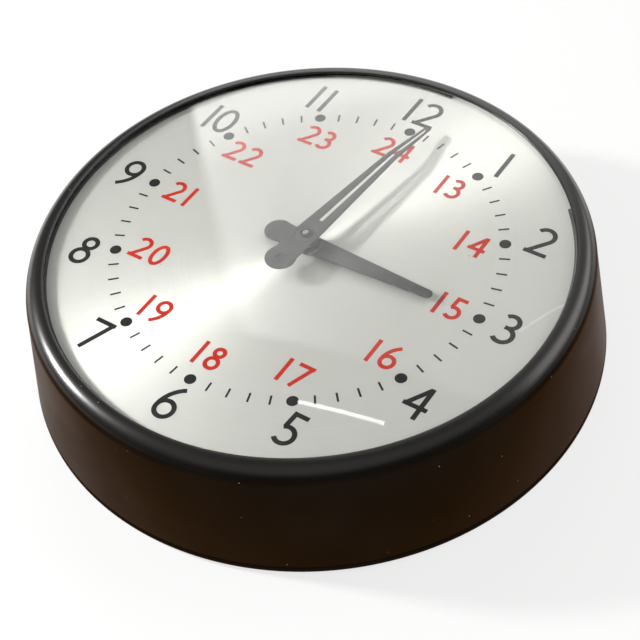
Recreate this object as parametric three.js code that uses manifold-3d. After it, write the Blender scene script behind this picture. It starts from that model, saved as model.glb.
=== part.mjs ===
// Round impulse wall clock with a twelve-hour dial that also counts 13 to 24.
// A master clock sends a pulse each half minute. An electromagnet pulls its armature down, a pawl
// drops back one tooth, and the return spring then pushes the wheel and the hands on by one tooth.
//
// Millimetres. X points to 3 o'clock, Z to 12 o'clock, and the dial faces -Y. The origin is the middle
// of the back cover's rear face, which rests on the wall. A depth is a distance in front of the wall.
import * as THREE from "three";
import Module from "manifold-3d";
import { mergeVertices } from "three/addons/utils/BufferGeometryUtils.js";

const wasm = await Module();
wasm.setup();

// Fits
const CLEAR = 0.3;              // gap between pieces that seat on, or turn in, each other
const STAKE_CLEAR = 0.2;        // gap round the staked spigot of a hand's bush
const SAME_PLACE = 1e-6;        // points nearer than this are one point
const PAST = 1;                 // how far a cutter runs past a face, or a joined solid into its neighbour

// Case
const OPENING_R = 152.4;        // visible opening, twelve inches across
const CASE_DEPTH = 76.85;       // wall to the ridge of the lip
const CASE_WALL = 3.5;
const CASE_FLARE = 8.45;        // how much wider the side is at the back than at the shoulder
const SHOULDER_ROUND = 11.25;
const LIP_ROUND = 0.8;
const LIP_THICK = 1.55;
const LIP_COVER = 3;            // how far the lip reaches over the glass
const BACK_ROUND = 3;
const BACK_LAND = 1.7;          // flat edge round the back cover
const RIM_DEPTH = 10;           // thick rim that the cover is screwed to
const RIM_INSET = 1;            // how far the rim stays outside the dial ring's ledge
const RIM_CHAMFER = 3;

// Glass and the split ring behind it
const BORE_GAP = 0.4;           // round the glass, in the case
const GLASS_THICK = 2;
const GLASS_RISE = 16;          // height of the dome over its flat rim
const GLASS_FLAT = 0.5;         // flat rim that shows inside the lip
const GLASS_RING_WIDTH = 2.8;
const GLASS_RING_THICK = 1;
const GLASS_RING_GAP_FROM = 9;  // degrees clockwise from 12
const GLASS_RING_GAP_TO = 50;

// Dial and the ring that carries it
const DIAL_THICK = 1.2;
const DIAL_RING_WIDTH = 5.4;
const DIAL_RING_STEP = 3.4;     // from the ring's flange to its dial face
const DIAL_RING_FLANGE = 2;
const DIAL_RING_SCREWS = 4;

// Bridge that carries the movement
const BRIDGE_THICK = 2;
const BRIDGE_JOGGLE = 2;
const BRIDGE_WIDE = 56;
const BRIDGE_NARROW = 24;
const BRIDGE_SHOULDER_X = 48;
const BRIDGE_WAIST_X = 90;
const BRIDGE_JOGGLE_RUN = 5;
const BRIDGE_END = 4.3;         // from the bridge's screw to its end
const BRIDGE_SEAT = 9.7;        // from the bridge's screw inwards to the joggle

// Plates and pillars of the movement
const PLATE_HALF_WIDTH = 42;
const PLATE_TOP = 38;
const PLATE_BOTTOM = -78;
const PLATE_CORNER = 5;
const PLATE_THICK = 2;
const PILLAR_LENGTH = 17;
const PILLAR_R = 3;
const PILLAR_INSET = 6;
const RIVET_R = 1.8;

// Screws
const SCREW_R = 1.1;
const SCREW_HEAD_R = 2.3;
const SCREW_HEAD = 1.6;
const SCREW_SLOT = 0.8;
const SCREW_BITE = 4.5;         // how deep a screw goes into what it holds
const MOVEMENT_SCREW_X = 32;
const COUNTERSUNK_R = 2.1;
const COUNTERSUNK_DEPTH = 1;
const COVER_SCREWS = 4;

// Back cover
const COVER_THICK = 1.5;
const KEYHOLE_Z = 96;           // middle of the keyhole's round end
const KEYHOLE_R = 5.5;
const KEYHOLE_SLOT = 5;
const KEYHOLE_RISE = 14;        // from the round end up to the middle of the slot's end
const KEYHOLE_PAD = 0.8;        // raised pad round the keyhole, for the head of the wall screw
const KEYHOLE_PAD_MARGIN = 6;   // from the keyhole to the pad's edge
const CABLE_HOLE_Z = -62;
const CABLE_HOLE_R = 8;

// Wheels and arbors
const ARBOR_R = 1.6;
const ARBOR_COLLAR_R = 2.8;
const ARBOR_END = 1;            // how far the arbor shows behind the back plate
const RATCHET_TEETH = 120;      // one tooth each half minute
const RATCHET_TIP_R = 24;
const RATCHET_TOOTH = 1;
const RATCHET_THICK = 2;
const RATCHET_HUB_R = 5;
const RATCHET_HUB = 6;
const RATCHET_HUB_LAND = 1;     // between the hub and the crossings
const RATCHET_RIM = 3;
const SPOKES = 4;
const SPOKE_WIDTH = 3.6;
const MODULE = 0.6;
const CANNON_TEETH = 15;
const MINUTE_WHEEL_TEETH = 45;
const MINUTE_PINION_TEETH = 12;
const HOUR_WHEEL_TEETH = 48;
const PRESSURE_ANGLE = 20;
const TOOTH_SHARE = 0.42;       // of the circular pitch, the rest is gap and backlash
const ADDENDUM = 0.8;           // in modules
const DEDENDUM = 1.25;
const WHEEL_THICK = 2;
const PINION_OVERLAP = 0.8;     // how far leaves stand out in front of the wheel that they drive
const CANNON_PIPE_R = 2.8;
const CANNON_HUB_R = 3.2;
const HOUR_PIPE_R = 4.2;
const HOUR_HUB_R = 7;
const HOUR_HUB = 1.2;
const STUD_R = 1.2;
const STUD_COLLAR_R = 3;
const STUD_COLLAR = 0.9;

// Hands
const TIME_MINUTES = 181;       // one minute past three
const HAND_THICK = 0.8;
const HOUR_HAND_HEIGHT = 4.1;   // top face over the dial
const HOUR_HAND_TIP = 83.3;
const HOUR_HAND_TIP_R = 2.9;
const HOUR_HAND_WIDTH = 13.5;   // at the centre
const HOUR_TAIL_R = 8.4;
const HOUR_TAIL = 20;
const HOUR_TAIL_WIDTH = 15.6;
const HOUR_SPIGOT_R = 5.2;
const HOUR_BUSH_R = 6.6;
const MINUTE_HAND_HEIGHT = 10.9;
const MINUTE_HAND_TIP = 115.5;
const MINUTE_HAND_TIP_WIDTH = 3.9;
const MINUTE_HAND_WIDTH = 15.6;
const MINUTE_TAIL_R = 9.15;
const MINUTE_TAIL = 22.2;
const MINUTE_TAIL_WIDTH = 15.8;
const MINUTE_BEND = 80;         // where the hand starts to bend down to the dial
const MINUTE_DROP = 4.4;        // how much lower its tip is
const SLOT_FROM = 13;
const SLOT_TO = 112.8;
const SLOT_WIDTH_FROM = 2.6;
const SLOT_WIDTH_TO = 1.4;
const DIMPLE_R = 2.8;
const DIMPLE_DEPTH = 0.3;
const MINUTE_SPIGOT_R = 6.2;
const MINUTE_BUSH_R = 7;
const MINUTE_BUSH = 3.2;
const NUT_FLANGE_R = 3.5;
const NUT_FLANGE = 0.5;
const NUT_R = 2.4;
const NUT_TOP = 0.7;

// Electromagnet
const POLE_Z = -38;
const CORE_X = 14;
const CORE_R = 3;
const CORE_LENGTH = 31.7;
const CORE_SPIGOT_R = 2;
const YOKE_THICK = 4;
const YOKE_HALF_WIDTH = 22;
const TENON_X = 0;
const TENON_WIDTH = 8;
const TENON_THICK = 2.4;
const BOBBIN_R = 7.8;
const BOBBIN_WALL = 0.9;
const BOBBIN_FLANGE = 1.2;
const BOBBIN_BELOW_POLE = 1.6;
const COIL_R = 7.2;

// Armature, its spring and its stop
const ARMATURE_SWING_ANGLE = 1.6;  // degrees
const ARMATURE_PIVOT_X = 30;
const ARMATURE_THICK = 3.4;
const ARMATURE_WIDTH = 14;
const ARMATURE_LEFT = -20;
const ARMATURE_TAIL = 11;       // beyond the pivot
const ARMATURE_EYE_R = 3.2;
const ARMATURE_PIN_R = 1.5;
const ARM_WIDTH = 3.5;
const ARM_REACH = 62;           // pivot to the drive pawl's pin
const SPRING_REACH = 8;         // pivot to the spring
const SPRING_R = 2.6;
const SPRING_WIRE_R = 0.45;
const SPRING_TURNS = 5;
const SPRING_LUG_Z = -19;
const STOP_REACH = 10;          // pivot to the stop screw
const STOP_LUG_Z = -27;
const LUG_THICK = 2;
const LUG_WIDTH = 8;
const LUG_DEPTH = 13;

// Pawls
const PAWL_EYE_R = 2.6;
const PAWL_PIN_R = 1.2;
const PAWL_THICK = 2.8;
const PAWL_ARM = 2.6;
const PAWL_HOOK = 1.2;
const PAWL_NOSE = 3;
const PAWL_PIN_HEAD_R = 2.2;
const PAWL_PIN_HEAD = 1;
const NOSE_LAG = 0.7;           // degrees that a nose lies behind the tooth it meets
const DRIVE_NOSE_AT = 270;      // degrees clockwise from 12, a multiple of the tooth pitch
const STOP_NOSE_AT = 21;
const BACKSTOP_X = -16;
const BACKSTOP_Z = 31;
const PIN_SHOULDER_R = 2.4;

// Terminal block and leads
const TERMINAL_HALF_WIDTH = 15;
const TERMINAL_BOTTOM = -44;
const TERMINAL_TOP = -30;
const TERMINAL_DEEP = 10;
const TERMINAL_RIB = 3;
const TERMINAL_RIB_HALF = 1;
const TERMINAL_SCREW_X = 8;
const PEG_R = 1.5;
const PEG_SPREAD = 3.5;
const LEAD_R = 0.7;
const LEAD_Z = -58;
const LEAD_SWEEP = 8;           // how far behind the coil the lead turns up

// Facets
const LARGE_SIDES = 48;
const WHEEL_SIDES = 16;
const SMALL_SIDES = 8;
const ROUND_SEGMENTS = 5;
const DOME_STEPS = 4;

// Places that follow from the sizes above
const RAD = Math.PI / 180;
const RIDGE_R = OPENING_R + LIP_ROUND;
const SHOULDER_R = RIDGE_R + SHOULDER_ROUND;
const SHOULDER_AT = CASE_DEPTH - SHOULDER_ROUND;
const CASE_BACK_R = SHOULDER_R + CASE_FLARE;
const GLASS_R = OPENING_R + LIP_COVER;
const BORE_R = GLASS_R + BORE_GAP;
const LEDGE_R = SHOULDER_R - CASE_WALL;
const RIM_R = LEDGE_R + RIM_INSET;
const REBATE_R = CASE_BACK_R - BACK_ROUND - BACK_LAND;
const REBATE_AT = COVER_THICK + CLEAR;
const COVER_R = REBATE_R - CLEAR;
const COVER_SCREW_CIRCLE = (RIM_R + REBATE_R) / 2;
const GLASS_FRONT = CASE_DEPTH - LIP_THICK - CLEAR;
const GLASS_BACK = GLASS_FRONT - GLASS_THICK;
const GLASS_RING_FRONT = GLASS_BACK - CLEAR;
const GLASS_RING_BACK = GLASS_RING_FRONT - GLASS_RING_THICK;
const DIAL_FRONT = GLASS_RING_BACK - CLEAR;
const DIAL_BACK = DIAL_FRONT - DIAL_THICK;
const DIAL_RING_FRONT = DIAL_BACK - CLEAR;
const LEDGE_AT = DIAL_RING_FRONT - DIAL_RING_STEP;
const FLANGE_FRONT = LEDGE_AT - CLEAR;
const FLANGE_BACK = FLANGE_FRONT - DIAL_RING_FLANGE;
const DIAL_RING_SCREW_CIRCLE = (BORE_R + LEDGE_R) / 2;
const DIAL_RING_R = LEDGE_R - CLEAR;
const DIAL_RING_INNER = GLASS_R - DIAL_RING_WIDTH;
const BRIDGE_SCREW_X = GLASS_R - DIAL_RING_WIDTH / 2;
const BRIDGE_END_FRONT = FLANGE_BACK - CLEAR;
const BRIDGE_END_BACK = BRIDGE_END_FRONT - BRIDGE_THICK;
const BRIDGE_FRONT = BRIDGE_END_FRONT - BRIDGE_JOGGLE;
const BRIDGE_BACK = BRIDGE_FRONT - BRIDGE_THICK;
const FRONT_PLATE_FRONT = BRIDGE_BACK - CLEAR;
const FRONT_PLATE_BACK = FRONT_PLATE_FRONT - PLATE_THICK;
const PILLAR_FRONT = FRONT_PLATE_BACK - CLEAR;
const PILLAR_BACK = PILLAR_FRONT - PILLAR_LENGTH;
const BACK_PLATE_FRONT = PILLAR_BACK - CLEAR;
const BACK_PLATE_BACK = BACK_PLATE_FRONT - PLATE_THICK;
const MIDDLE = (FRONT_PLATE_BACK + BACK_PLATE_FRONT) / 2;
const PILLAR_X = PLATE_HALF_WIDTH - PILLAR_INSET;
const PILLAR_Z = [PLATE_TOP - PILLAR_INSET, PLATE_BOTTOM + PILLAR_INSET];
const STUD_Z = -MODULE * (CANNON_TEETH + MINUTE_WHEEL_TEETH) / 2;
const STUD_COLLAR_BACK = BRIDGE_FRONT + CLEAR;
const STUD_COLLAR_FRONT = STUD_COLLAR_BACK + STUD_COLLAR;
const MINUTE_WHEEL_BACK = STUD_COLLAR_FRONT + CLEAR;
const MINUTE_WHEEL_FRONT = MINUTE_WHEEL_BACK + WHEEL_THICK;
const CANNON_LEAF_BACK = MINUTE_WHEEL_BACK - 2 * CLEAR;
const CANNON_LEAF_FRONT = MINUTE_WHEEL_FRONT + PINION_OVERLAP;
const HOUR_WHEEL_BACK = CANNON_LEAF_FRONT + CLEAR;
const HOUR_WHEEL_FRONT = HOUR_WHEEL_BACK + WHEEL_THICK;
const HOUR_HUB_FRONT = HOUR_WHEEL_FRONT + HOUR_HUB;
const MINUTE_PINION_FRONT = HOUR_WHEEL_FRONT + PINION_OVERLAP;
const HOUR_HAND_FRONT = DIAL_FRONT + HOUR_HAND_HEIGHT;
const HOUR_HAND_BACK = HOUR_HAND_FRONT - HAND_THICK;
const MINUTE_HAND_FRONT = DIAL_FRONT + MINUTE_HAND_HEIGHT;
const MINUTE_HAND_BACK = MINUTE_HAND_FRONT - HAND_THICK;
const NUT_BACK = MINUTE_HAND_FRONT + CLEAR;
const CORE_FOOT = POLE_Z - CORE_LENGTH;
const YOKE_TOP = CORE_FOOT - CLEAR;
const YOKE_BOTTOM = YOKE_TOP - YOKE_THICK;
const BOBBIN_BOTTOM = YOKE_TOP + CLEAR;
const BOBBIN_TOP = POLE_Z - BOBBIN_BELOW_POLE;
const ARMATURE_PIVOT_Z = POLE_Z + CLEAR + ARMATURE_THICK / 2;
const ARMATURE_TOP = ARMATURE_PIVOT_Z + ARMATURE_THICK / 2;
const PAWL_BACK = MIDDLE - PAWL_THICK / 2;
const PAWL_FRONT = MIDDLE + PAWL_THICK / 2;
const ARM_FRONT = PAWL_BACK - 2 * CLEAR;
const ARM_BACK = ARM_FRONT - ARM_WIDTH;
const DRIVE_PIN_X = ARMATURE_PIVOT_X - ARM_REACH * Math.cos(ARMATURE_SWING_ANGLE * RAD);
const DRIVE_PIN_Z = ARMATURE_PIVOT_Z + ARM_REACH * Math.sin(ARMATURE_SWING_ANGLE * RAD);
const TERMINAL_FRONT = BACK_PLATE_BACK - CLEAR;
const TERMINAL_BACK = TERMINAL_FRONT - TERMINAL_DEEP;

// Finishes
function finish(color, roughness, metalness) {
  return new THREE.MeshStandardMaterial({ color, roughness, metalness });
}

const satinBlack = finish(0x1d1b1a, 0.35, 0);
const clearGlass = finish(0xe8efee, 0.05, 0);
clearGlass.transparent = true;
clearGlass.opacity = 0.3;
const ringBlack = finish(0x111111, 0.6, 0);
const brushedDial = finish(0xd3d3d0, 0.35, 0.7);
const handGrey = finish(0x747472, 0.5, 0.2);
const brass = finish(0xb99a52, 0.3, 0.9);
const steel = finish(0xb8babc, 0.35, 0.9);
const zincSteel = finish(0x9ea2a4, 0.45, 0.8);
const softIron = finish(0x6d6f72, 0.5, 0.8);
const greyPaint = finish(0x8d908f, 0.6, 0.1);
const bobbinPlastic = finish(0x2c2a28, 0.5, 0);
const copperWire = finish(0xa5562e, 0.4, 0.6);
const terminalPlastic = finish(0x3a2a22, 0.45, 0);
const leadSleeve = finish(0x8a2a22, 0.7, 0);

// A solid for joining and cutting, from a closed three.js geometry
function solidOf(geometry) {
  geometry.deleteAttribute("normal");
  geometry.deleteAttribute("uv");
  const merged = mergeVertices(geometry);
  const corners = merged.index.array;
  const triangles = [];
  for (let i = 0; i < corners.length; i += 3) {
    const [a, b, c] = corners.slice(i, i + 3);
    const flat = a === b || b === c || c === a;
    if (!flat) triangles.push(a, b, c);
  }
  return new wasm.Manifold(new wasm.Mesh({
    numProp: 3,
    vertProperties: merged.attributes.position.array,
    triVerts: new Uint32Array(triangles),
  }));
}

function geometryOf(solid) {
  const mesh = solid.getMesh();
  const geometry = new THREE.BufferGeometry();
  geometry.setAttribute("position", new THREE.BufferAttribute(mesh.vertProperties, 3));
  geometry.setIndex(new THREE.BufferAttribute(mesh.triVerts, 1));
  return geometry;
}

// Points [radius, depth] or [radius, height] on an arc, in degrees from "outwards" towards the second axis
function arc(centreR, centre, radius, from, to, steps) {
  const points = [];
  for (let i = 0; i <= steps; i++) {
    const angle = (from + ((to - from) * i) / steps) * RAD;
    points.push([centreR + radius * Math.cos(angle), centre + radius * Math.sin(angle)]);
  }
  return points;
}

// A lathe geometry about Y, whichever way round its profile is given
function latheOf(points, sides) {
  const outline = points.filter((p, i) => i === 0 || p.distanceTo(points[i - 1]) > SAME_PLACE);
  if (THREE.ShapeUtils.area(outline) < 0) outline.reverse();
  if (outline[0].x > 0) outline.push(outline[0].clone());
  return new THREE.LatheGeometry(outline, sides);
}

// Turned about the clock's own line of centres, or one parallel to it, from points [radius, depth]
function turned(profile, sides = WHEEL_SIDES, x = 0, z = 0) {
  const geometry = latheOf(profile.map(([r, depth]) => new THREE.Vector2(r, -depth)), sides);
  return solidOf(geometry.translate(x, 0, z));
}

// Turned about an upright axis, from points [radius, height]
function upright(profile, sides, x, depth) {
  const geometry = latheOf(profile.map(([r, height]) => new THREE.Vector2(r, height)), sides);
  return solidOf(geometry.rotateX(Math.PI / 2).translate(x, -depth, 0));
}

function rod(r, back, front, x = 0, z = 0, sides = SMALL_SIDES) {
  return turned([[0, back], [r, back], [r, front], [0, front]], sides, x, z);
}

// What a drill takes away on its way through, from back to front
function through(r, back, front, x = 0, z = 0, sides = SMALL_SIDES) {
  return rod(r, back - PAST, front + PAST, x, z, sides);
}

// A flat piece drawn as seen from the front, filling the depths from back to front
function flat(shape, back, front) {
  const geometry = new THREE.ExtrudeGeometry(shape, {
    depth: front - back,
    bevelEnabled: false,
    curveSegments: ROUND_SEGMENTS,
  });
  return solidOf(geometry.rotateX(Math.PI / 2).translate(0, -back, 0));
}

// A piece whose section in X and depth is the same from the height bottom to top
function strip(points, bottom, top) {
  const shape = new THREE.Shape(points.map(([x, depth]) => new THREE.Vector2(x, -depth)));
  const geometry = new THREE.ExtrudeGeometry(shape, { depth: top - bottom, bevelEnabled: false });
  return solidOf(geometry.translate(0, 0, bottom));
}

function block(left, right, back, front, bottom, top) {
  const geometry = new THREE.BoxGeometry(right - left, front - back, top - bottom);
  return solidOf(geometry.translate((left + right) / 2, -(back + front) / 2, (bottom + top) / 2));
}

// A place on a circle, in degrees clockwise from 12
function onCircle(r, degrees) {
  return [r * Math.sin(degrees * RAD), r * Math.cos(degrees * RAD)];
}

function ringPlaces(r, count, first) {
  const places = [];
  for (let i = 0; i < count; i++) places.push(onCircle(r, first + (360 / count) * i));
  return places;
}

function bothSides(x) {
  return [[-x, 0], [x, 0]];
}

function roundHole(r, x, z) {
  const path = new THREE.Path();
  path.absarc(x, z, r, 0, 2 * Math.PI);
  return path;
}

function polygon(points) {
  return new THREE.Shape(points.map(([x, z]) => new THREE.Vector2(x, z)));
}

function rectangle(left, right, bottom, top) {
  return polygon([[left, bottom], [right, bottom], [right, top], [left, top]]);
}

const clock = new THREE.Group();

function add(name, solid, material, parent = clock) {
  const mesh = new THREE.Mesh(geometryOf(solid), material);
  mesh.name = name;
  parent.add(mesh);
  return mesh;
}

// Case
function sideRadius(depth) {
  return CASE_BACK_R - (CASE_FLARE * (depth - BACK_ROUND)) / (SHOULDER_AT - BACK_ROUND);
}

function makeCase() {
  const rimFoot = RIM_DEPTH + RIM_CHAMFER;
  let shell = turned([
    [REBATE_R, 0],
    ...arc(CASE_BACK_R - BACK_ROUND, BACK_ROUND, BACK_ROUND, -90, 0, 2),
    ...arc(RIDGE_R, SHOULDER_AT, SHOULDER_ROUND, 0, 90, 5),
    ...arc(RIDGE_R, CASE_DEPTH - LIP_ROUND, LIP_ROUND, 90, 180, 2),
    [OPENING_R, CASE_DEPTH - LIP_THICK],
    [BORE_R, CASE_DEPTH - LIP_THICK],
    [BORE_R, LEDGE_AT],
    [LEDGE_R, LEDGE_AT],
    [sideRadius(rimFoot) - CASE_WALL, rimFoot],
    [RIM_R, RIM_DEPTH],
    [RIM_R, REBATE_AT],
    [REBATE_R, REBATE_AT],
  ], LARGE_SIDES);
  const hole = SCREW_R + CLEAR;
  for (const [x, z] of ringPlaces(DIAL_RING_SCREW_CIRCLE, DIAL_RING_SCREWS, 45)) {
    shell = shell.subtract(rod(hole, LEDGE_AT - PAST, FLANGE_BACK + SCREW_BITE + 2 * CLEAR, x, z));
  }
  for (const [x, z] of ringPlaces(COVER_SCREW_CIRCLE, COVER_SCREWS, 45)) {
    shell = shell.subtract(rod(hole, REBATE_AT - PAST, REBATE_AT + SCREW_BITE + 2 * CLEAR, x, z));
  }
  add("case_shell", shell, satinBlack);
}

// Glass: a shallow dome with a flat rim
function makeGlass() {
  const domeR = OPENING_R - GLASS_FLAT;
  const sphereR = (domeR * domeR + GLASS_RISE * GLASS_RISE) / (2 * GLASS_RISE);
  const dome = [];
  for (let i = 0; i <= DOME_STEPS; i++) {
    const r = (domeR * i) / DOME_STEPS;
    dome.push([r, GLASS_FRONT + Math.sqrt(sphereR * sphereR - r * r) - sphereR + GLASS_RISE]);
  }
  const inside = dome.map(([r, depth]) => [r, depth - GLASS_THICK]).reverse();
  const rim = [[GLASS_R, GLASS_FRONT], [GLASS_R, GLASS_BACK]];
  add("glass", turned([...dome, ...rim, ...inside], LARGE_SIDES), clearGlass);

  const turn = 360 + GLASS_RING_GAP_FROM - GLASS_RING_GAP_TO;
  const parts = Math.round((LARGE_SIDES * turn) / 360);
  const outer = [];
  const inner = [];
  for (let i = 0; i <= parts; i++) {
    const degrees = GLASS_RING_GAP_TO + (turn * i) / parts;
    outer.push(onCircle(GLASS_R - LIP_COVER / 2, degrees));
    inner.unshift(onCircle(GLASS_R - LIP_COVER / 2 - GLASS_RING_WIDTH, degrees));
  }
  add("glass_ring", flat(polygon([...outer, ...inner]), GLASS_RING_BACK, GLASS_RING_FRONT), ringBlack);
}

// Dial and dial ring
function makeDial() {
  const hole = HOUR_PIPE_R + 3 * CLEAR;
  add("dial", turned([
    [hole, DIAL_BACK],
    [GLASS_R, DIAL_BACK],
    [GLASS_R, DIAL_FRONT],
    [hole, DIAL_FRONT],
  ], LARGE_SIDES), brushedDial);

  let ring = turned([
    [DIAL_RING_INNER, FLANGE_BACK],
    [DIAL_RING_R, FLANGE_BACK],
    [DIAL_RING_R, FLANGE_FRONT],
    [GLASS_R, FLANGE_FRONT],
    [GLASS_R, DIAL_RING_FRONT],
    [DIAL_RING_INNER, DIAL_RING_FRONT],
  ], LARGE_SIDES);
  for (const [x, z] of ringPlaces(DIAL_RING_SCREW_CIRCLE, DIAL_RING_SCREWS, 45)) {
    ring = ring.subtract(through(SCREW_R + CLEAR, FLANGE_BACK, FLANGE_FRONT, x, z));
  }
  for (const x of [-BRIDGE_SCREW_X, BRIDGE_SCREW_X]) {
    const end = BRIDGE_END_BACK + SCREW_BITE + 2 * CLEAR;
    ring = ring.subtract(rod(SCREW_R + CLEAR, FLANGE_BACK - PAST, end, x, 0));
  }
  add("dial_ring", ring, greyPaint);
}

// Slotted cheese-head screw with its seat at the origin, its head behind and its shank in front
function screw(length) {
  const body = turned([
    [0, -SCREW_HEAD],
    [SCREW_HEAD_R, -SCREW_HEAD],
    [SCREW_HEAD_R, 0],
    [SCREW_R, 0],
    [SCREW_R, length],
    [0, length],
  ], SMALL_SIDES);
  const slotBottom = -SCREW_HEAD / 2;
  const half = SCREW_SLOT / 2;
  return body.subtract(block(-SCREW_HEAD_R, SCREW_HEAD_R, -SCREW_HEAD - PAST, slotBottom, -half, half));
}

function addScrews(name, places, seat, length, headInFront = false) {
  places.forEach(([x, z], i) => {
    const mesh = add(`${name}_${i + 1}`, screw(length), steel);
    mesh.position.set(x, -seat, z);
    if (headInFront) mesh.rotation.x = Math.PI;
  });
}

// Bridge: a strap across the dial ring, joggled at its ends
function makeBridge() {
  const end = BRIDGE_SCREW_X + BRIDGE_END;
  const step = BRIDGE_SCREW_X - BRIDGE_SEAT;
  const foot = step - BRIDGE_JOGGLE_RUN;
  const front = [
    [-end, BRIDGE_END_FRONT],
    [-step, BRIDGE_END_FRONT],
    [-foot, BRIDGE_FRONT],
    [foot, BRIDGE_FRONT],
    [step, BRIDGE_END_FRONT],
    [end, BRIDGE_END_FRONT],
  ];
  const back = front.map(([x, depth]) => [x, depth - BRIDGE_THICK]).reverse();
  const wide = BRIDGE_WIDE / 2;
  const narrow = BRIDGE_NARROW / 2;
  const outline = polygon([
    [-end, -narrow],
    [-BRIDGE_WAIST_X, -narrow],
    [-BRIDGE_SHOULDER_X, -wide],
    [BRIDGE_SHOULDER_X, -wide],
    [BRIDGE_WAIST_X, -narrow],
    [end, -narrow],
    [end, narrow],
    [BRIDGE_WAIST_X, narrow],
    [BRIDGE_SHOULDER_X, wide],
    [-BRIDGE_SHOULDER_X, wide],
    [-BRIDGE_WAIST_X, narrow],
    [-end, narrow],
  ]);
  outline.holes.push(roundHole(CANNON_HUB_R + 3 * CLEAR, 0, 0));
  outline.holes.push(roundHole(STUD_R + CLEAR, 0, STUD_Z));
  for (const x of [-BRIDGE_SCREW_X, -MOVEMENT_SCREW_X, MOVEMENT_SCREW_X, BRIDGE_SCREW_X]) {
    outline.holes.push(roundHole(SCREW_R + CLEAR, x, 0));
  }
  const sheet = flat(outline, BRIDGE_BACK - PAST, BRIDGE_END_FRONT + PAST);
  add("movement_bridge", strip([...front, ...back], -wide - PAST, wide + PAST).intersect(sheet), zincSteel);
}

// Movement plates
function plateOutline(holes) {
  const corner = PLATE_CORNER;
  const half = PLATE_HALF_WIDTH;
  const outline = polygon([
    [-half + corner, PLATE_BOTTOM],
    [half - corner, PLATE_BOTTOM],
    [half, PLATE_BOTTOM + corner],
    [half, PLATE_TOP - corner],
    [half - corner, PLATE_TOP],
    [-half + corner, PLATE_TOP],
    [-half, PLATE_TOP - corner],
    [-half, PLATE_BOTTOM + corner],
  ]);
  const tenon = TENON_WIDTH / 2 + CLEAR;
  const middle = (YOKE_TOP + YOKE_BOTTOM) / 2;
  const slot = TENON_THICK / 2 + CLEAR;
  outline.holes.push(rectangle(TENON_X - tenon, TENON_X + tenon, middle - slot, middle + slot));
  outline.holes.push(roundHole(ARBOR_R + CLEAR, 0, 0));
  outline.holes.push(roundHole(ARMATURE_PIN_R + CLEAR, ARMATURE_PIVOT_X, ARMATURE_PIVOT_Z));
  outline.holes.push(roundHole(PAWL_PIN_R + CLEAR, BACKSTOP_X, BACKSTOP_Z));
  outline.holes.push(...holes);
  return outline;
}

function pillarPlaces() {
  const places = [];
  for (const z of PILLAR_Z) for (const x of [-PILLAR_X, PILLAR_X]) places.push([x, z]);
  return places;
}

// A lug bent forward from the back plate, with an upright hole
function lug(x, bottom, hole) {
  const half = LUG_WIDTH / 2;
  const top = bottom + LUG_THICK;
  const end = BACK_PLATE_FRONT + LUG_DEPTH;
  const body = block(x - half, x + half, BACK_PLATE_FRONT - PAST, end, bottom, top);
  if (hole === 0) return body;
  return body.subtract(upright([
    [0, bottom - PAST],
    [hole, bottom - PAST],
    [hole, top + PAST],
    [0, top + PAST],
  ], SMALL_SIDES, x, MIDDLE));
}

function makePlates() {
  const rivets = pillarPlaces().map(([x, z]) => roundHole(RIVET_R + CLEAR, x, z));
  for (const x of [-MOVEMENT_SCREW_X, MOVEMENT_SCREW_X]) rivets.push(roundHole(SCREW_R + CLEAR, x, 0));
  add("front_plate", flat(plateOutline(rivets), FRONT_PLATE_BACK, FRONT_PLATE_FRONT), brass);

  const holes = pillarPlaces().map(([x, z]) => roundHole(SCREW_R + CLEAR, x, z));
  for (const z of pegHeights()) holes.push(roundHole(PEG_R + CLEAR, 0, z));
  for (const x of [-CORE_X, CORE_X]) holes.push(roundHole(LEAD_R + 2 * CLEAR, x, LEAD_Z));
  const plate = flat(plateOutline(holes), BACK_PLATE_BACK, BACK_PLATE_FRONT);
  const stopLug = lug(ARMATURE_PIVOT_X - STOP_REACH, STOP_LUG_Z, SCREW_R + CLEAR);
  const springLug = lug(ARMATURE_PIVOT_X + SPRING_REACH, SPRING_LUG_Z, 0);
  add("back_plate", plate.add(stopLug).add(springLug), brass);

  pillarPlaces().forEach(([x, z], i) => {
    const socket = PILLAR_BACK + SCREW_BITE + CLEAR;
    const mesh = add(`pillar_${i + 1}`, turned([
      [0, socket],
      [SCREW_R + CLEAR, socket],
      [SCREW_R + CLEAR, PILLAR_BACK],
      [PILLAR_R, PILLAR_BACK],
      [PILLAR_R, PILLAR_FRONT],
      [RIVET_R, PILLAR_FRONT],
      [RIVET_R, FRONT_PLATE_FRONT],
      [0, FRONT_PLATE_FRONT],
    ], SMALL_SIDES), brass);
    mesh.position.set(x, 0, z);
  });
}

// Arbor and ratchet wheel
function sawWheel() {
  const pitch = 360 / RATCHET_TEETH;
  const points = [];
  for (let i = 0; i < RATCHET_TEETH; i++) {
    points.push(onCircle(RATCHET_TIP_R - RATCHET_TOOTH, i * pitch));
    points.push(onCircle(RATCHET_TIP_R, i * pitch));
  }
  return polygon(points);
}

// Openings between the spokes of a wheel
function crossings(inner, outer) {
  const windows = [];
  const half = SPOKE_WIDTH / 2;
  for (let i = 0; i < SPOKES; i++) {
    const start = (360 / SPOKES) * i;
    const points = [];
    for (const [r, order] of [[inner, [0, 1, 2]], [outer, [2, 1, 0]]]) {
      const trim = Math.asin(half / r) / RAD;
      for (const k of order) {
        points.push(onCircle(r, start + trim + ((360 / SPOKES - 2 * trim) * k) / 2));
      }
    }
    windows.push(polygon(points));
  }
  return windows;
}

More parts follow.
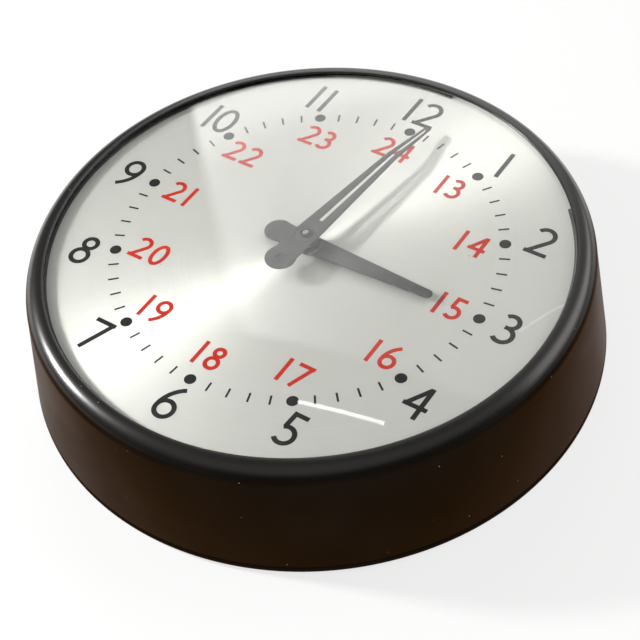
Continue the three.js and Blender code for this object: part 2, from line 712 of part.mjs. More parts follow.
function makeArbor() {
  const hubBack = MIDDLE - RATCHET_HUB / 2;
  const collarFront = hubBack - CLEAR;
  add("centre_arbor", turned([
    [0, BACK_PLATE_BACK - ARBOR_END],
    [ARBOR_R, BACK_PLATE_BACK - ARBOR_END],
    [ARBOR_R, PILLAR_BACK],
    [ARBOR_COLLAR_R, PILLAR_BACK],
    [ARBOR_COLLAR_R, collarFront],
    [ARBOR_R, collarFront],
    [ARBOR_R, NUT_BACK + NUT_FLANGE],
    [0, NUT_BACK + NUT_FLANGE],
  ]), steel);

  const shape = sawWheel();
  const rimInner = RATCHET_TIP_R - RATCHET_TOOTH - RATCHET_RIM;
  shape.holes.push(...crossings(RATCHET_HUB_R + RATCHET_HUB_LAND, rimInner));
  const wheel = flat(shape, MIDDLE - RATCHET_THICK / 2, MIDDLE + RATCHET_THICK / 2);
  const hub = rod(RATCHET_HUB_R, hubBack, hubBack + RATCHET_HUB, 0, 0, WHEEL_SIDES);
  const bore = through(ARBOR_R + CLEAR, hubBack, hubBack + RATCHET_HUB, 0, 0, WHEEL_SIDES);
  add("ratchet_wheel", wheel.add(hub).subtract(bore), brass);
}

// Involute gear, with a tooth pointing at "tooth" degrees clockwise from 12
function gearShape(teeth, toothAt) {
  const pitchR = (MODULE * teeth) / 2;
  const baseR = pitchR * Math.cos(PRESSURE_ANGLE * RAD);
  const involute = (r) => {
    const angle = Math.acos(Math.min(1, baseR / r));
    return Math.tan(angle) - angle;
  };
  const rootR = pitchR - DEDENDUM * MODULE;
  const tipR = pitchR + ADDENDUM * MODULE;
  const atPitch = (Math.PI * TOOTH_SHARE) / teeth + involute(pitchR);
  const halfAngle = (r) => atPitch - involute(Math.max(r, baseR));
  const radii = [rootR, tipR];
  const points = [];
  for (let i = 0; i < teeth; i++) {
    const middle = toothAt + (360 / teeth) * i;
    for (const r of radii) points.push(onCircle(r, middle - halfAngle(r) / RAD));
    for (const r of [...radii].reverse()) points.push(onCircle(r, middle + halfAngle(r) / RAD));
  }
  return polygon(points);
}

// Motion work: 15 drives 45, whose 12 drives 48, so the hour wheel turns once for twelve turns
function makeMotionWork() {
  const leaves = flat(gearShape(CANNON_TEETH, 180), CANNON_LEAF_BACK, CANNON_LEAF_FRONT);
  const cannonBody = turned([
    [0, BRIDGE_BACK],
    [CANNON_HUB_R, BRIDGE_BACK],
    [CANNON_HUB_R, CANNON_LEAF_BACK + PAST],
    [CANNON_PIPE_R, CANNON_LEAF_BACK + PAST],
    [CANNON_PIPE_R, MINUTE_HAND_FRONT],
    [0, MINUTE_HAND_FRONT],
  ]);
  const arborBore = through(ARBOR_R + CLEAR, BRIDGE_BACK, MINUTE_HAND_FRONT, 0, 0, WHEEL_SIDES);
  add("cannon_pinion", leaves.add(cannonBody).subtract(arborBore), brass);

  const wheelShape = gearShape(MINUTE_WHEEL_TEETH, 180 / MINUTE_WHEEL_TEETH);
  const wheel = flat(wheelShape, MINUTE_WHEEL_BACK, MINUTE_WHEEL_FRONT);
  const pinion = flat(gearShape(MINUTE_PINION_TEETH, 0), MINUTE_WHEEL_BACK, MINUTE_PINION_FRONT);
  const studBore = through(STUD_R + CLEAR, MINUTE_WHEEL_BACK, MINUTE_PINION_FRONT);
  const minuteWheel = add("minute_wheel", wheel.add(pinion).subtract(studBore), brass);
  minuteWheel.position.z = STUD_Z;

  const stud = add("minute_wheel_stud", turned([
    [0, BRIDGE_BACK + CLEAR],
    [STUD_R, BRIDGE_BACK + CLEAR],
    [STUD_R, STUD_COLLAR_BACK],
    [STUD_COLLAR_R, STUD_COLLAR_BACK],
    [STUD_COLLAR_R, STUD_COLLAR_FRONT],
    [STUD_R, STUD_COLLAR_FRONT],
    [STUD_R, MINUTE_PINION_FRONT + CLEAR],
    [0, MINUTE_PINION_FRONT + CLEAR],
  ], SMALL_SIDES), steel);
  stud.position.z = STUD_Z;

  const hourShape = gearShape(HOUR_WHEEL_TEETH, 180 + 180 / HOUR_WHEEL_TEETH);
  const hourBody = turned([
    [0, HOUR_WHEEL_BACK],
    [HOUR_HUB_R, HOUR_WHEEL_BACK],
    [HOUR_HUB_R, HOUR_HUB_FRONT],
    [HOUR_PIPE_R, HOUR_HUB_FRONT],
    [HOUR_PIPE_R, HOUR_HAND_FRONT],
    [0, HOUR_HAND_FRONT],
  ]);
  const pipeBore = through(CANNON_PIPE_R + CLEAR, HOUR_WHEEL_BACK, HOUR_HAND_FRONT, 0, 0, WHEEL_SIDES);
  const hourWheel = flat(hourShape, HOUR_WHEEL_BACK, HOUR_WHEEL_FRONT);
  add("hour_wheel", hourWheel.add(hourBody).subtract(pipeBore), brass);
}

// Hands, drawn pointing to 12 and then turned
function handOutline(tip, tailR, tail, tailWidth, width) {
  const meet = Math.acos(tailWidth / 2 / tailR) / RAD;
  const right = arc(0, -tail, tailR, meet, -90, 6);
  const left = right.map(([x, z]) => [-x, z]).reverse();
  return polygon([
    ...tip,
    [width / 2, 0],
    ...right,
    ...left.slice(1),
    [-width / 2, 0],
  ]);
}

function bush(bore, spigot, flange, back, seat, front) {
  return turned([
    [bore, back],
    [flange, back],
    [flange, seat],
    [spigot, seat],
    [spigot, front],
    [bore, front],
  ]);
}

function makeHourHand() {
  const hand = new THREE.Group();
  hand.rotation.y = (TIME_MINUTES / 720) * 2 * Math.PI;
  clock.add(hand);
  const tip = arc(0, HOUR_HAND_TIP - HOUR_HAND_TIP_R, HOUR_HAND_TIP_R, 180, 0, 6);
  const outline = handOutline(tip, HOUR_TAIL_R, HOUR_TAIL, HOUR_TAIL_WIDTH, HOUR_HAND_WIDTH);
  const blade = flat(outline, HOUR_HAND_BACK, HOUR_HAND_FRONT);
  const eye = through(HOUR_SPIGOT_R + STAKE_CLEAR, HOUR_HAND_BACK, HOUR_HAND_FRONT, 0, 0, WHEEL_SIDES);
  add("hour_hand", blade.subtract(eye), handGrey, hand);
  const bore = HOUR_PIPE_R + CLEAR;
  const back = DIAL_FRONT + 3 * CLEAR;
  const seat = HOUR_HAND_BACK - CLEAR;
  const staked = bush(bore, HOUR_SPIGOT_R, HOUR_BUSH_R, back, seat, HOUR_HAND_FRONT);
  add("hour_hand_bush", staked, handGrey, hand);
}

function makeMinuteHand() {
  const hand = new THREE.Group();
  hand.rotation.y = ((TIME_MINUTES % 60) / 60) * 2 * Math.PI;
  clock.add(hand);
  const tipX = MINUTE_HAND_TIP_WIDTH / 2;
  const tip = [[-tipX, MINUTE_HAND_TIP], [tipX, MINUTE_HAND_TIP]];
  const outline = handOutline(tip, MINUTE_TAIL_R, MINUTE_TAIL, MINUTE_TAIL_WIDTH, MINUTE_HAND_WIDTH);
  outline.holes.push(polygon([
    [-SLOT_WIDTH_FROM / 2, SLOT_FROM],
    [SLOT_WIDTH_FROM / 2, SLOT_FROM],
    [SLOT_WIDTH_TO / 2, SLOT_TO],
    [-SLOT_WIDTH_TO / 2, SLOT_TO],
  ]));
  // The sheet as it is bent, seen from the side, is cut to the hand's outline
  const bottom = -MINUTE_TAIL - MINUTE_TAIL_R - PAST;
  const bend = [
    [bottom, MINUTE_HAND_FRONT],
    [MINUTE_BEND, MINUTE_HAND_FRONT],
    [MINUTE_HAND_TIP + PAST, MINUTE_HAND_FRONT - MINUTE_DROP],
  ];
  const section = [...bend, ...bend.map(([z, depth]) => [z, depth - HAND_THICK]).reverse()];
  const shape = new THREE.Shape(section.map(([z, depth]) => new THREE.Vector2(z, -depth)));
  const half = MINUTE_TAIL_R + PAST;
  const sheet = new THREE.ExtrudeGeometry(shape, { depth: 2 * half, bevelEnabled: false });
  sheet.translate(0, 0, -half).rotateY(-Math.PI / 2);
  const blank = flat(outline, MINUTE_HAND_BACK - MINUTE_DROP - PAST, MINUTE_HAND_FRONT + PAST);
  const dimple = rod(DIMPLE_R, MINUTE_HAND_FRONT - DIMPLE_DEPTH, MINUTE_HAND_FRONT + PAST, 0, -MINUTE_TAIL);
  const eyeR = MINUTE_SPIGOT_R + STAKE_CLEAR;
  const eye = through(eyeR, MINUTE_HAND_BACK, MINUTE_HAND_FRONT, 0, 0, WHEEL_SIDES);
  add("minute_hand", solidOf(sheet).intersect(blank).subtract(dimple).subtract(eye), handGrey, hand);
  const bore = CANNON_PIPE_R + CLEAR;
  const seat = MINUTE_HAND_BACK - CLEAR;
  const back = seat - MINUTE_BUSH;
  const staked = bush(bore, MINUTE_SPIGOT_R, MINUTE_BUSH_R, back, seat, MINUTE_HAND_FRONT);
  add("minute_hand_bush", staked, handGrey, hand);

  const flangeFront = NUT_BACK + NUT_FLANGE;
  const blind = flangeFront + CLEAR;
  add("hand_nut", turned([
    [0, blind],
    [ARBOR_R + CLEAR, blind],
    [ARBOR_R + CLEAR, NUT_BACK],
    [NUT_FLANGE_R, NUT_BACK],
    [NUT_FLANGE_R, flangeFront],
    [NUT_R, flangeFront],
    [NUT_R, flangeFront + NUT_TOP],
    [0, flangeFront + NUT_TOP],
  ]), steel, hand);
}

// Electromagnet
function makeMagnet() {
  const middle = (YOKE_TOP + YOKE_BOTTOM) / 2;
  const half = TENON_THICK / 2;
  const left = TENON_X - TENON_WIDTH / 2;
  const right = TENON_X + TENON_WIDTH / 2;
  let yoke = block(-YOKE_HALF_WIDTH, YOKE_HALF_WIDTH, PILLAR_BACK, PILLAR_FRONT, YOKE_BOTTOM, YOKE_TOP);
  yoke = yoke.add(block(left, right, BACK_PLATE_BACK, FRONT_PLATE_FRONT, middle - half, middle + half));
  for (const x of [-CORE_X, CORE_X]) {
    yoke = yoke.subtract(upright([
      [0, YOKE_BOTTOM - PAST],
      [CORE_SPIGOT_R + CLEAR, YOKE_BOTTOM - PAST],
      [CORE_SPIGOT_R + CLEAR, YOKE_TOP + PAST],
      [0, YOKE_TOP + PAST],
    ], SMALL_SIDES, x, MIDDLE));
  }
  add("yoke", yoke, softIron);

  for (const [side, x] of [["left", -CORE_X], ["right", CORE_X]]) {
    add(`core_${side}`, upright([
      [0, YOKE_BOTTOM],
      [CORE_SPIGOT_R, YOKE_BOTTOM],
      [CORE_SPIGOT_R, CORE_FOOT],
      [CORE_R, CORE_FOOT],
      [CORE_R, POLE_Z],
      [0, POLE_Z],
    ], WHEEL_SIDES, x, MIDDLE), softIron);

    const bore = CORE_R + CLEAR;
    const tube = bore + BOBBIN_WALL;
    add(`bobbin_${side}`, upright([
      [bore, BOBBIN_BOTTOM],
      [BOBBIN_R, BOBBIN_BOTTOM],
      [BOBBIN_R, BOBBIN_BOTTOM + BOBBIN_FLANGE],
      [tube, BOBBIN_BOTTOM + BOBBIN_FLANGE],
      [tube, BOBBIN_TOP - BOBBIN_FLANGE],
      [BOBBIN_R, BOBBIN_TOP - BOBBIN_FLANGE],
      [BOBBIN_R, BOBBIN_TOP],
      [bore, BOBBIN_TOP],
    ], WHEEL_SIDES, x, MIDDLE), bobbinPlastic);

    const coilBottom = BOBBIN_BOTTOM + BOBBIN_FLANGE + CLEAR;
    const coilTop = BOBBIN_TOP - BOBBIN_FLANGE - CLEAR;
    add(`coil_${side}`, upright([
      [tube + CLEAR, coilBottom],
      [COIL_R, coilBottom],
      [COIL_R, coilTop],
      [tube + CLEAR, coilTop],
    ], WHEEL_SIDES, x, MIDDLE), copperWire);
  }
}

// Armature, drawn lying on the poles about its own pivot and then lifted to its stop
function makeArmature() {
  const lifted = new THREE.Group();
  lifted.position.set(ARMATURE_PIVOT_X, 0, ARMATURE_PIVOT_Z);
  lifted.rotation.y = ARMATURE_SWING_ANGLE * RAD;
  clock.add(lifted);
  const half = ARMATURE_THICK / 2;
  const back = MIDDLE - ARMATURE_WIDTH / 2;
  const front = MIDDLE + ARMATURE_WIDTH / 2;
  const left = ARMATURE_LEFT - ARMATURE_PIVOT_X;
  const bar = flat(rectangle(left, ARMATURE_TAIL, -half, half), back, front);
  const eye = rod(ARMATURE_EYE_R, back, front, 0, 0, WHEEL_SIDES);
  const arm = flat(rectangle(-ARM_REACH, left + PAST, -half, half), ARM_BACK, ARM_FRONT);
  const armEnd = rod(PAWL_EYE_R, ARM_BACK, ARM_FRONT, -ARM_REACH, 0);
  const pivotHole = through(ARMATURE_PIN_R + CLEAR, back, front);
  const pawlHole = through(PAWL_PIN_R + CLEAR, ARM_BACK, ARM_FRONT, -ARM_REACH, 0);
  const armature = bar.add(eye).add(arm).add(armEnd).subtract(pivotHole).subtract(pawlHole);
  add("armature", armature, softIron, lifted);

  add("drive_pawl_pin", turned([
    [0, ARM_BACK],
    [PAWL_PIN_R, ARM_BACK],
    [PAWL_PIN_R, PAWL_FRONT + CLEAR],
    [PAWL_PIN_HEAD_R, PAWL_FRONT + CLEAR],
    [PAWL_PIN_HEAD_R, PAWL_FRONT + CLEAR + PAWL_PIN_HEAD],
    [0, PAWL_FRONT + CLEAR + PAWL_PIN_HEAD],
  ], SMALL_SIDES, -ARM_REACH, 0), steel, lifted);

  const pin = rod(ARMATURE_PIN_R, BACK_PLATE_BACK, FRONT_PLATE_FRONT, ARMATURE_PIVOT_X, ARMATURE_PIVOT_Z);
  add("armature_pin", pin, steel);
}

// Compression spring: presses the armature's tail down, so that its arm rises
class SpringCurve extends THREE.Curve {
  constructor(x, bottom, top) {
    super();
    this.x = x;
    this.bottom = bottom;
    this.top = top;
  }

  getPoint(t, target = new THREE.Vector3()) {
    const angle = t * SPRING_TURNS * 2 * Math.PI;
    const height = this.bottom + (this.top - this.bottom) * t;
    return target.set(this.x + SPRING_R * Math.cos(angle), -MIDDLE + SPRING_R * Math.sin(angle), height);
  }
}

function wireAlong(curve, r, sides, steps) {
  const points = [];
  for (let i = 0; i < sides; i++) points.push(onCircle(r, (360 / sides) * i));
  return solidOf(new THREE.ExtrudeGeometry(polygon(points), { steps, extrudePath: curve }));
}

function makeSpringAndStop() {
  const tailTop = ARMATURE_TOP;
  const rise = CLEAR / 2;
  const bottom = tailTop + rise + SPRING_WIRE_R;
  const top = SPRING_LUG_Z - CLEAR - SPRING_WIRE_R;
  const curve = new SpringCurve(ARMATURE_PIVOT_X + SPRING_REACH, bottom, top);
  add("return_spring", wireAlong(curve, SPRING_WIRE_R, 5, SPRING_TURNS * 8), steel);

  const stopX = ARMATURE_PIVOT_X - STOP_REACH;
  const seat = STOP_LUG_Z + LUG_THICK + CLEAR;
  const foot = ARMATURE_TOP + STOP_REACH * Math.tan(ARMATURE_SWING_ANGLE * RAD) + CLEAR;
  const stop = add("stop_screw", screw(seat - foot), steel);
  stop.position.set(stopX, -MIDDLE, seat);
  stop.rotation.x = Math.PI / 2;
}

// A pawl with its eye at the origin and its nose "length" above it, hooked to the right
function pawl(length) {
  const eye = rod(PAWL_EYE_R, PAWL_BACK, PAWL_FRONT, 0, 0);
  const half = PAWL_ARM / 2;
  const arm = flat(polygon([
    [-half, 0],
    [half, 0],
    [-PAWL_HOOK, length - PAWL_NOSE],
    [0, length - PAWL_NOSE / 5],
    [0, length],
    [-PAWL_HOOK - PAWL_ARM / 2, length],
    [-PAWL_HOOK - PAWL_ARM, length - PAWL_NOSE / 2],
  ]), PAWL_BACK, PAWL_FRONT);
  return eye.add(arm).subtract(through(PAWL_PIN_R + CLEAR, PAWL_BACK, PAWL_FRONT));
}

function addPawl(name, pinX, pinZ, noseAt) {
  const [noseX, noseZ] = onCircle(RATCHET_TIP_R + CLEAR, noseAt - NOSE_LAG);
  const mesh = add(name, pawl(Math.hypot(noseX - pinX, noseZ - pinZ)), steel);
  mesh.position.set(pinX, 0, pinZ);
  mesh.rotation.y = Math.atan2(noseX - pinX, noseZ - pinZ);
}

function makePawls() {
  addPawl("drive_pawl", DRIVE_PIN_X, DRIVE_PIN_Z, DRIVE_NOSE_AT);
  addPawl("backstop_pawl", BACKSTOP_X, BACKSTOP_Z, STOP_NOSE_AT);
  const shoulder = PAWL_BACK - CLEAR;
  add("backstop_pin", turned([
    [0, BACK_PLATE_BACK],
    [PAWL_PIN_R, BACK_PLATE_BACK],
    [PAWL_PIN_R, PILLAR_BACK],
    [PIN_SHOULDER_R, PILLAR_BACK],
    [PIN_SHOULDER_R, shoulder],
    [PAWL_PIN_R, shoulder],
    [PAWL_PIN_R, FRONT_PLATE_FRONT],
    [0, FRONT_PLATE_FRONT],
  ], SMALL_SIDES, BACKSTOP_X, BACKSTOP_Z), steel);
}

// Terminal block behind the back plate, and the leads from the coils
function pegHeights() {
  const middle = (TERMINAL_BOTTOM + TERMINAL_TOP) / 2;
  return [middle - PEG_SPREAD, middle + PEG_SPREAD];
}

function makeTerminals() {
  const half = TERMINAL_HALF_WIDTH;
  const middle = (TERMINAL_BOTTOM + TERMINAL_TOP) / 2;
  let body = block(-half, half, TERMINAL_BACK, TERMINAL_FRONT, TERMINAL_BOTTOM, TERMINAL_TOP);
  const ribBack = TERMINAL_BACK - TERMINAL_RIB;
  for (const x of [-half + TERMINAL_RIB_HALF, 0, half - TERMINAL_RIB_HALF]) {
    const left = x - TERMINAL_RIB_HALF;
    const right = x + TERMINAL_RIB_HALF;
    body = body.add(block(left, right, ribBack, TERMINAL_BACK + PAST, TERMINAL_BOTTOM, TERMINAL_TOP));
  }
  for (const z of pegHeights()) body = body.add(rod(PEG_R, TERMINAL_FRONT - PAST, PILLAR_BACK, 0, z));
  const places = [[-TERMINAL_SCREW_X, middle], [TERMINAL_SCREW_X, middle]];
  const holeEnd = TERMINAL_BACK + SCREW_BITE + CLEAR;
  for (const [x, z] of places) {
    body = body.subtract(rod(SCREW_R + CLEAR, TERMINAL_BACK - PAST, holeEnd, x, z));
  }
  add("terminal_block", body, terminalPlastic);
  addScrews("terminal_screw", places, TERMINAL_BACK - CLEAR, SCREW_BITE);

  const coilBack = MIDDLE - COIL_R;
  [-CORE_X, CORE_X].forEach((x, i) => {
    const turnAt = coilBack - LEAD_SWEEP;
    const route = [
      [coilBack - CLEAR, LEAD_Z],
      [coilBack - LEAD_SWEEP / 2, LEAD_Z],
      [turnAt + LEAD_SWEEP / 8, LEAD_Z + LEAD_SWEEP / 8],
      [turnAt, LEAD_Z + LEAD_SWEEP / 2],
      [turnAt, TERMINAL_BOTTOM - CLEAR],
    ];
    const curve = new THREE.CatmullRomCurve3(route.map(([depth, z]) => new THREE.Vector3(x, -depth, z)));
    add(`lead_wire_${i + 1}`, wireAlong(curve, LEAD_R, 6, 14), leadSleeve);
  });
}

// Back cover with its keyhole, its cable hole and its countersunk screws
function makeCover() {
  const slot = KEYHOLE_SLOT / 2;
  const slotTop = KEYHOLE_Z + KEYHOLE_RISE;
  const padFront = COVER_THICK + KEYHOLE_PAD;
  const padHalf = KEYHOLE_R + KEYHOLE_PAD_MARGIN;
  const padTop = slotTop + slot + KEYHOLE_PAD_MARGIN;
  let cover = rod(COVER_R, 0, COVER_THICK, 0, 0, LARGE_SIDES);
  cover = cover.add(block(-padHalf, padHalf, COVER_THICK / 2, padFront, KEYHOLE_Z - padHalf, padTop));
  cover = cover.subtract(through(KEYHOLE_R, 0, padFront, 0, KEYHOLE_Z, WHEEL_SIDES));
  cover = cover.subtract(through(slot, 0, padFront, 0, slotTop));
  cover = cover.subtract(block(-slot, slot, -PAST, padFront + PAST, KEYHOLE_Z, slotTop));
  cover = cover.subtract(through(CABLE_HOLE_R, 0, COVER_THICK, 0, CABLE_HOLE_Z, WHEEL_SIDES));
  const places = ringPlaces(COVER_SCREW_CIRCLE, COVER_SCREWS, 45);
  const hole = SCREW_R + CLEAR;
  for (const [x, z] of places) {
    cover = cover.subtract(turned([
      [0, -PAST],
      [COUNTERSUNK_R + CLEAR, -PAST],
      [COUNTERSUNK_R + CLEAR, 0],
      [hole, COUNTERSUNK_DEPTH],
      [hole, COVER_THICK + PAST],
      [0, COVER_THICK + PAST],
    ], SMALL_SIDES, x, z));
  }
  add("back_cover", cover, greyPaint);

  const half = SCREW_SLOT / 2;
  const cut = block(-COUNTERSUNK_R, COUNTERSUNK_R, -PAST, COUNTERSUNK_DEPTH / 2, -half, half);
  places.forEach(([x, z], i) => {
    const body = turned([
      [0, 0],
      [COUNTERSUNK_R, 0],
      [SCREW_R, COUNTERSUNK_DEPTH],
      [SCREW_R, REBATE_AT + SCREW_BITE],
      [0, REBATE_AT + SCREW_BITE],
    ], SMALL_SIDES);
    const mesh = add(`back_cover_screw_${i + 1}`, body.subtract(cut), steel);
    mesh.position.set(x, 0, z);
  });
}

makeCase();
makeGlass();
makeDial();
addScrews(
  "dial_ring_screw",
  ringPlaces(DIAL_RING_SCREW_CIRCLE, DIAL_RING_SCREWS, 45),
  FLANGE_BACK - CLEAR,
  SCREW_BITE + CLEAR,
);
makeBridge();
addScrews("bridge_screw", bothSides(BRIDGE_SCREW_X), BRIDGE_END_BACK - CLEAR, SCREW_BITE);
addScrews("movement_screw", bothSides(MOVEMENT_SCREW_X), BRIDGE_FRONT + CLEAR, SCREW_BITE, true);
makePlates();
addScrews("plate_screw", pillarPlaces(), BACK_PLATE_BACK - CLEAR, SCREW_BITE);
makeArbor();
makeMotionWork();
makeHourHand();
makeMinuteHand();
makeMagnet();
makeArmature();
makeSpringAndStop();
makePawls();
makeTerminals();
makeCover();

export default clock;
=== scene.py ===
"""Looks of a round wall clock: satin black case, domed glass, circular-brushed dial, printed figures.

Metres. X points to 3 o'clock, Z to 12 o'clock, and the dial faces -Y. A depth is a distance in front
of the wall, so it counts along -Y. Both hands are drawn pointing to 12 and then turned.
"""
import math

import bmesh
import bpy
from mathutils import Matrix, Vector
from mathutils.geometry import delaunay_2d_cdt


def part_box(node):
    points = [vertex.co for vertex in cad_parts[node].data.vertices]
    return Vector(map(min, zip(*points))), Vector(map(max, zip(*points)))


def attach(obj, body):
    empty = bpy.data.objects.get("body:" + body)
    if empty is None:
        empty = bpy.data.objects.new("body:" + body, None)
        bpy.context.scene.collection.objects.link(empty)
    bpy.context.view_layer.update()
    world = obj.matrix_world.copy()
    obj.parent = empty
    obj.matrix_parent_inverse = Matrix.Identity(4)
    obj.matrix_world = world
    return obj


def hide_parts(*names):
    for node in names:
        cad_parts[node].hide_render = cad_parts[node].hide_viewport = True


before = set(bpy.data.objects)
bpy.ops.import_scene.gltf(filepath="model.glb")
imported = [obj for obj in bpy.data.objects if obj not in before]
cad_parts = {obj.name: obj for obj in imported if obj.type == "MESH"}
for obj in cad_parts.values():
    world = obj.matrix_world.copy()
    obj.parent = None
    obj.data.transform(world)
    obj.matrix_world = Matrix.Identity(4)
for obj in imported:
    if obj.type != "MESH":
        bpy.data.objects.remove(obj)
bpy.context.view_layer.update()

MM = 0.001

# Camera, as the clock was photographed: from below its 4 o'clock, turned so that 12 leans to the right
CAMERA_AT = Vector((0.37195, -0.65989, -0.45309))
CAMERA_RIGHT = Vector((0.82866, 0.08599, 0.55311))
CAMERA_UP = Vector((-0.36651, -0.66351, 0.65224))
CAMERA_LENS = 81.157
CAMERA_SENSOR = 36

# Case section. Where the frame gives a size, it is read from there
OPENING_R = 152.4 * MM
SHOULDER_ROUND = 11.25 * MM
LIP_ROUND = 0.8 * MM
LIP_THICK = 1.55 * MM
BACK_ROUND = 3 * MM
BACK_LAND = 1.7 * MM
BEAD_AT = 2.3 * MM
BEAD_R = 0.35 * MM
CASE_WALL = 3.5 * MM
RIM_DEPTH = 10 * MM
RIM_CHAMFER = 3 * MM
BORE_GAP = 0.4 * MM
SEAT_GAP = 0.3 * MM
EDGE_ROUND = 0.25 * MM
REBATE_AT = 1.8 * MM
RIM_INSET = 1 * MM
DIAL_RING_STEP = 3.4 * MM

# Glass, split ring (its gap in degrees) and dial
GLASS_FLAT = 0.5 * MM
GLASS_THICK = 2 * MM
DOME_STEPS = 40
SPLIT_RING_WIDTH = 2.8 * MM
SPLIT_RING_GAP = (2.5, 50)
SPLIT_RING_STEPS = 180
DIAL_HOLE_R = 5.1 * MM
DIAL_EDGE = 0.1 * MM

# Hands
TIME_MINUTES = 181
HAND_THICK = 0.8 * MM
HAND_BEVEL = 0.22 * MM
HOUR_TIP = 83.3 * MM
HOUR_TIP_R = 2.9 * MM
HOUR_WIDTH = 13.5 * MM
HOUR_TAIL = 20 * MM
HOUR_TAIL_R = 8.4 * MM
HOUR_TAIL_WIDTH = 15.6 * MM
HOUR_EYE_R = 5.4 * MM
MINUTE_TIP = 115.5 * MM
MINUTE_TIP_WIDTH = 3.9 * MM
MINUTE_WIDTH = 15.6 * MM
MINUTE_TAIL = 22.2 * MM
MINUTE_TAIL_R = 9.15 * MM
MINUTE_TAIL_WIDTH = 15.8 * MM
MINUTE_EYE_R = 6.4 * MM
MINUTE_BEND = 80 * MM
MINUTE_BEND_RUN = 5 * MM
MINUTE_DROP = 4.4 * MM
SLOT_FROM = 13 * MM
SLOT_TO = 112.8 * MM
SLOT_WIDTH_FROM = 2.6 * MM
SLOT_WIDTH_TO = 1.4 * MM
DIMPLE_R = 2.8 * MM
DIMPLE_DEPTH = 0.42 * MM
SPIGOT_HOUR_R = 5.2 * MM
SPIGOT_MINUTE_R = 6.35 * MM
BORE_HOUR_R = 4.5 * MM
BORE_MINUTE_R = 3.1 * MM
NUT_BRIGHT_R = 1.9 * MM

# Print on the dial
INK = 0.04 * MM
DOT_CIRCLE = 112.5 * MM
DOT_R = 3.4 * MM
TICK_LENGTH = 6.2 * MM
TICK_WIDTH = 1.2 * MM
# Rings of figures: name, first number, circle, height, stroke
FIGURE_RINGS = [
    ("black_figures", 1, 131 * MM, 22.6 * MM, 2.85 * MM),
    ("red_figures", 13, 94.3 * MM, 16.8 * MM, 2.45 * MM),
]
# How far numbers stand off their places, in mm across and up
NUDGES = {
    2: (1.5, 2.4), 3: (-1, 0.7), 10: (3.3, 1.4), 12: (-0.5, 0.4), 20: (3.3, -0.2), 21: (1.3, 0.3), 22: (2.1, 0.4),
}

# Back cover
COVER_THICK = 1.5 * MM
COVER_SCREWS = 4
KEYHOLE_Z = 96 * MM
KEYHOLE_R = 5.5 * MM
KEYHOLE_SLOT = 5 * MM
KEYHOLE_RISE = 14 * MM
PAD_MARGIN = 6 * MM
CABLE_HOLE_R = 8 * MM
CABLE_HOLE_Z = -62 * MM
SCREW_R = 1.1 * MM
SINK_R = 2.1 * MM
SINK_DEPTH = 1 * MM
SINK_GAP = 0.3 * MM
SCREW_SLOT = 0.8 * MM
PAD_CORNER = 2 * MM

# Meshes: sides of what is turned, creases in degrees, bevels, and distances that count as none
ROUND_SIDES = 256
SMALL_SIDES = 64
CREASE = 35
PLATE_CREASE = 40
GLASS_CREASE = 5
BEVEL = 0.15 * MM
PAD_BEVEL = 0.1 * MM
MERGE = 1e-7
TINY = 1e-9

# Finishes
WIRE_PITCH = 0.35 * MM

# Floor. The share of plain white is what the camera, metal and glass see of it
FLOOR_WHITE = 0.75
FLOOR_R = 3
FLOOR_BEHIND = 0.5 * MM

# Lamps: name, place, direction of its width, width, height, power, tint
LAMPS = [
    ("key", (-1.312, -0.846, -0.53), (0, 0, 1), 0.16, 0.16, 34, (1, 0.995, 0.985)),
    ("tube", (-0.4487, -2.9, 0.6614), (0.969, 0, 0.2469), 0.571, 0.022, 0.33, (1, 1, 1)),
    ("far_tube", (0.1916, -2.9, 2.3439), (0.2078, 0, 0.9782), 0.5561, 0.01, 0.028, (1, 1, 1)),
]
# Strength of the room
SKY_NEAR = 0.56
SKY_FAR = 0.25
SKY_SIDE = 0.1
SKY_BACK = 0.5
# Slope and level of the window's two edges that the glass mirrors, as lines in a plane before the dial
WINDOW_SIDE = (0.949, -0.132)
WINDOW_FOOT = (-0.19, 0.4545)
# The window's light is a sum of steps: from, to, strength before, strength after
WINDOW_STEPS = [(-0.5, -0.2, 1.3, 0.4), (-1.7, -1.1, 0.68, 0), (0.2, 0.8, 0, 2.6), (1.5, 2.5, 0, -1.9)]


def depth_of(node):
    """Front and back of a CAD node, as depths."""
    low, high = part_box(node)
    return -low.y, -high.y


def outer_radius(node):
    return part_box(node)[1].x


case_front = depth_of("case_shell")[0]
glass_apex, glass_back = depth_of("glass")
ring_front, ring_back = depth_of("glass_ring")
dial_front, dial_back = depth_of("dial")
hour_front = depth_of("hour_hand")[0]
minute_front = depth_of("minute_hand")[0]
CASE_R = outer_radius("case_shell")
GLASS_R = outer_radius("glass")
RIDGE_R = OPENING_R + LIP_ROUND
SHOULDER_R = RIDGE_R + SHOULDER_ROUND
SHOULDER_AT = case_front - SHOULDER_ROUND
GLASS_FRONT = glass_back + GLASS_THICK
LEDGE_R = SHOULDER_R - CASE_WALL
LEDGE_AT = depth_of("dial_ring")[0] - DIAL_RING_STEP
REBATE_R = CASE_R - BACK_ROUND - BACK_LAND
RIM_R = LEDGE_R + RIM_INSET
SCREW_CIRCLE = (RIM_R + REBATE_R) / 2
hour_turn = TIME_MINUTES / 720 * 360
minute_turn = TIME_MINUTES % 60 * 6


# Meshes
def new_object(name, data):
    piece = bpy.data.objects.new(name, data)
    bpy.context.scene.collection.objects.link(piece)
    return piece


def mesh_piece(bm, name):
    """A named object from a bmesh, with its normals outwards."""
    bmesh.ops.recalc_face_normals(bm, faces=bm.faces)
    mesh = bpy.data.meshes.new(name)
    bm.to_mesh(mesh)
    bm.free()
    return new_object(name, mesh)


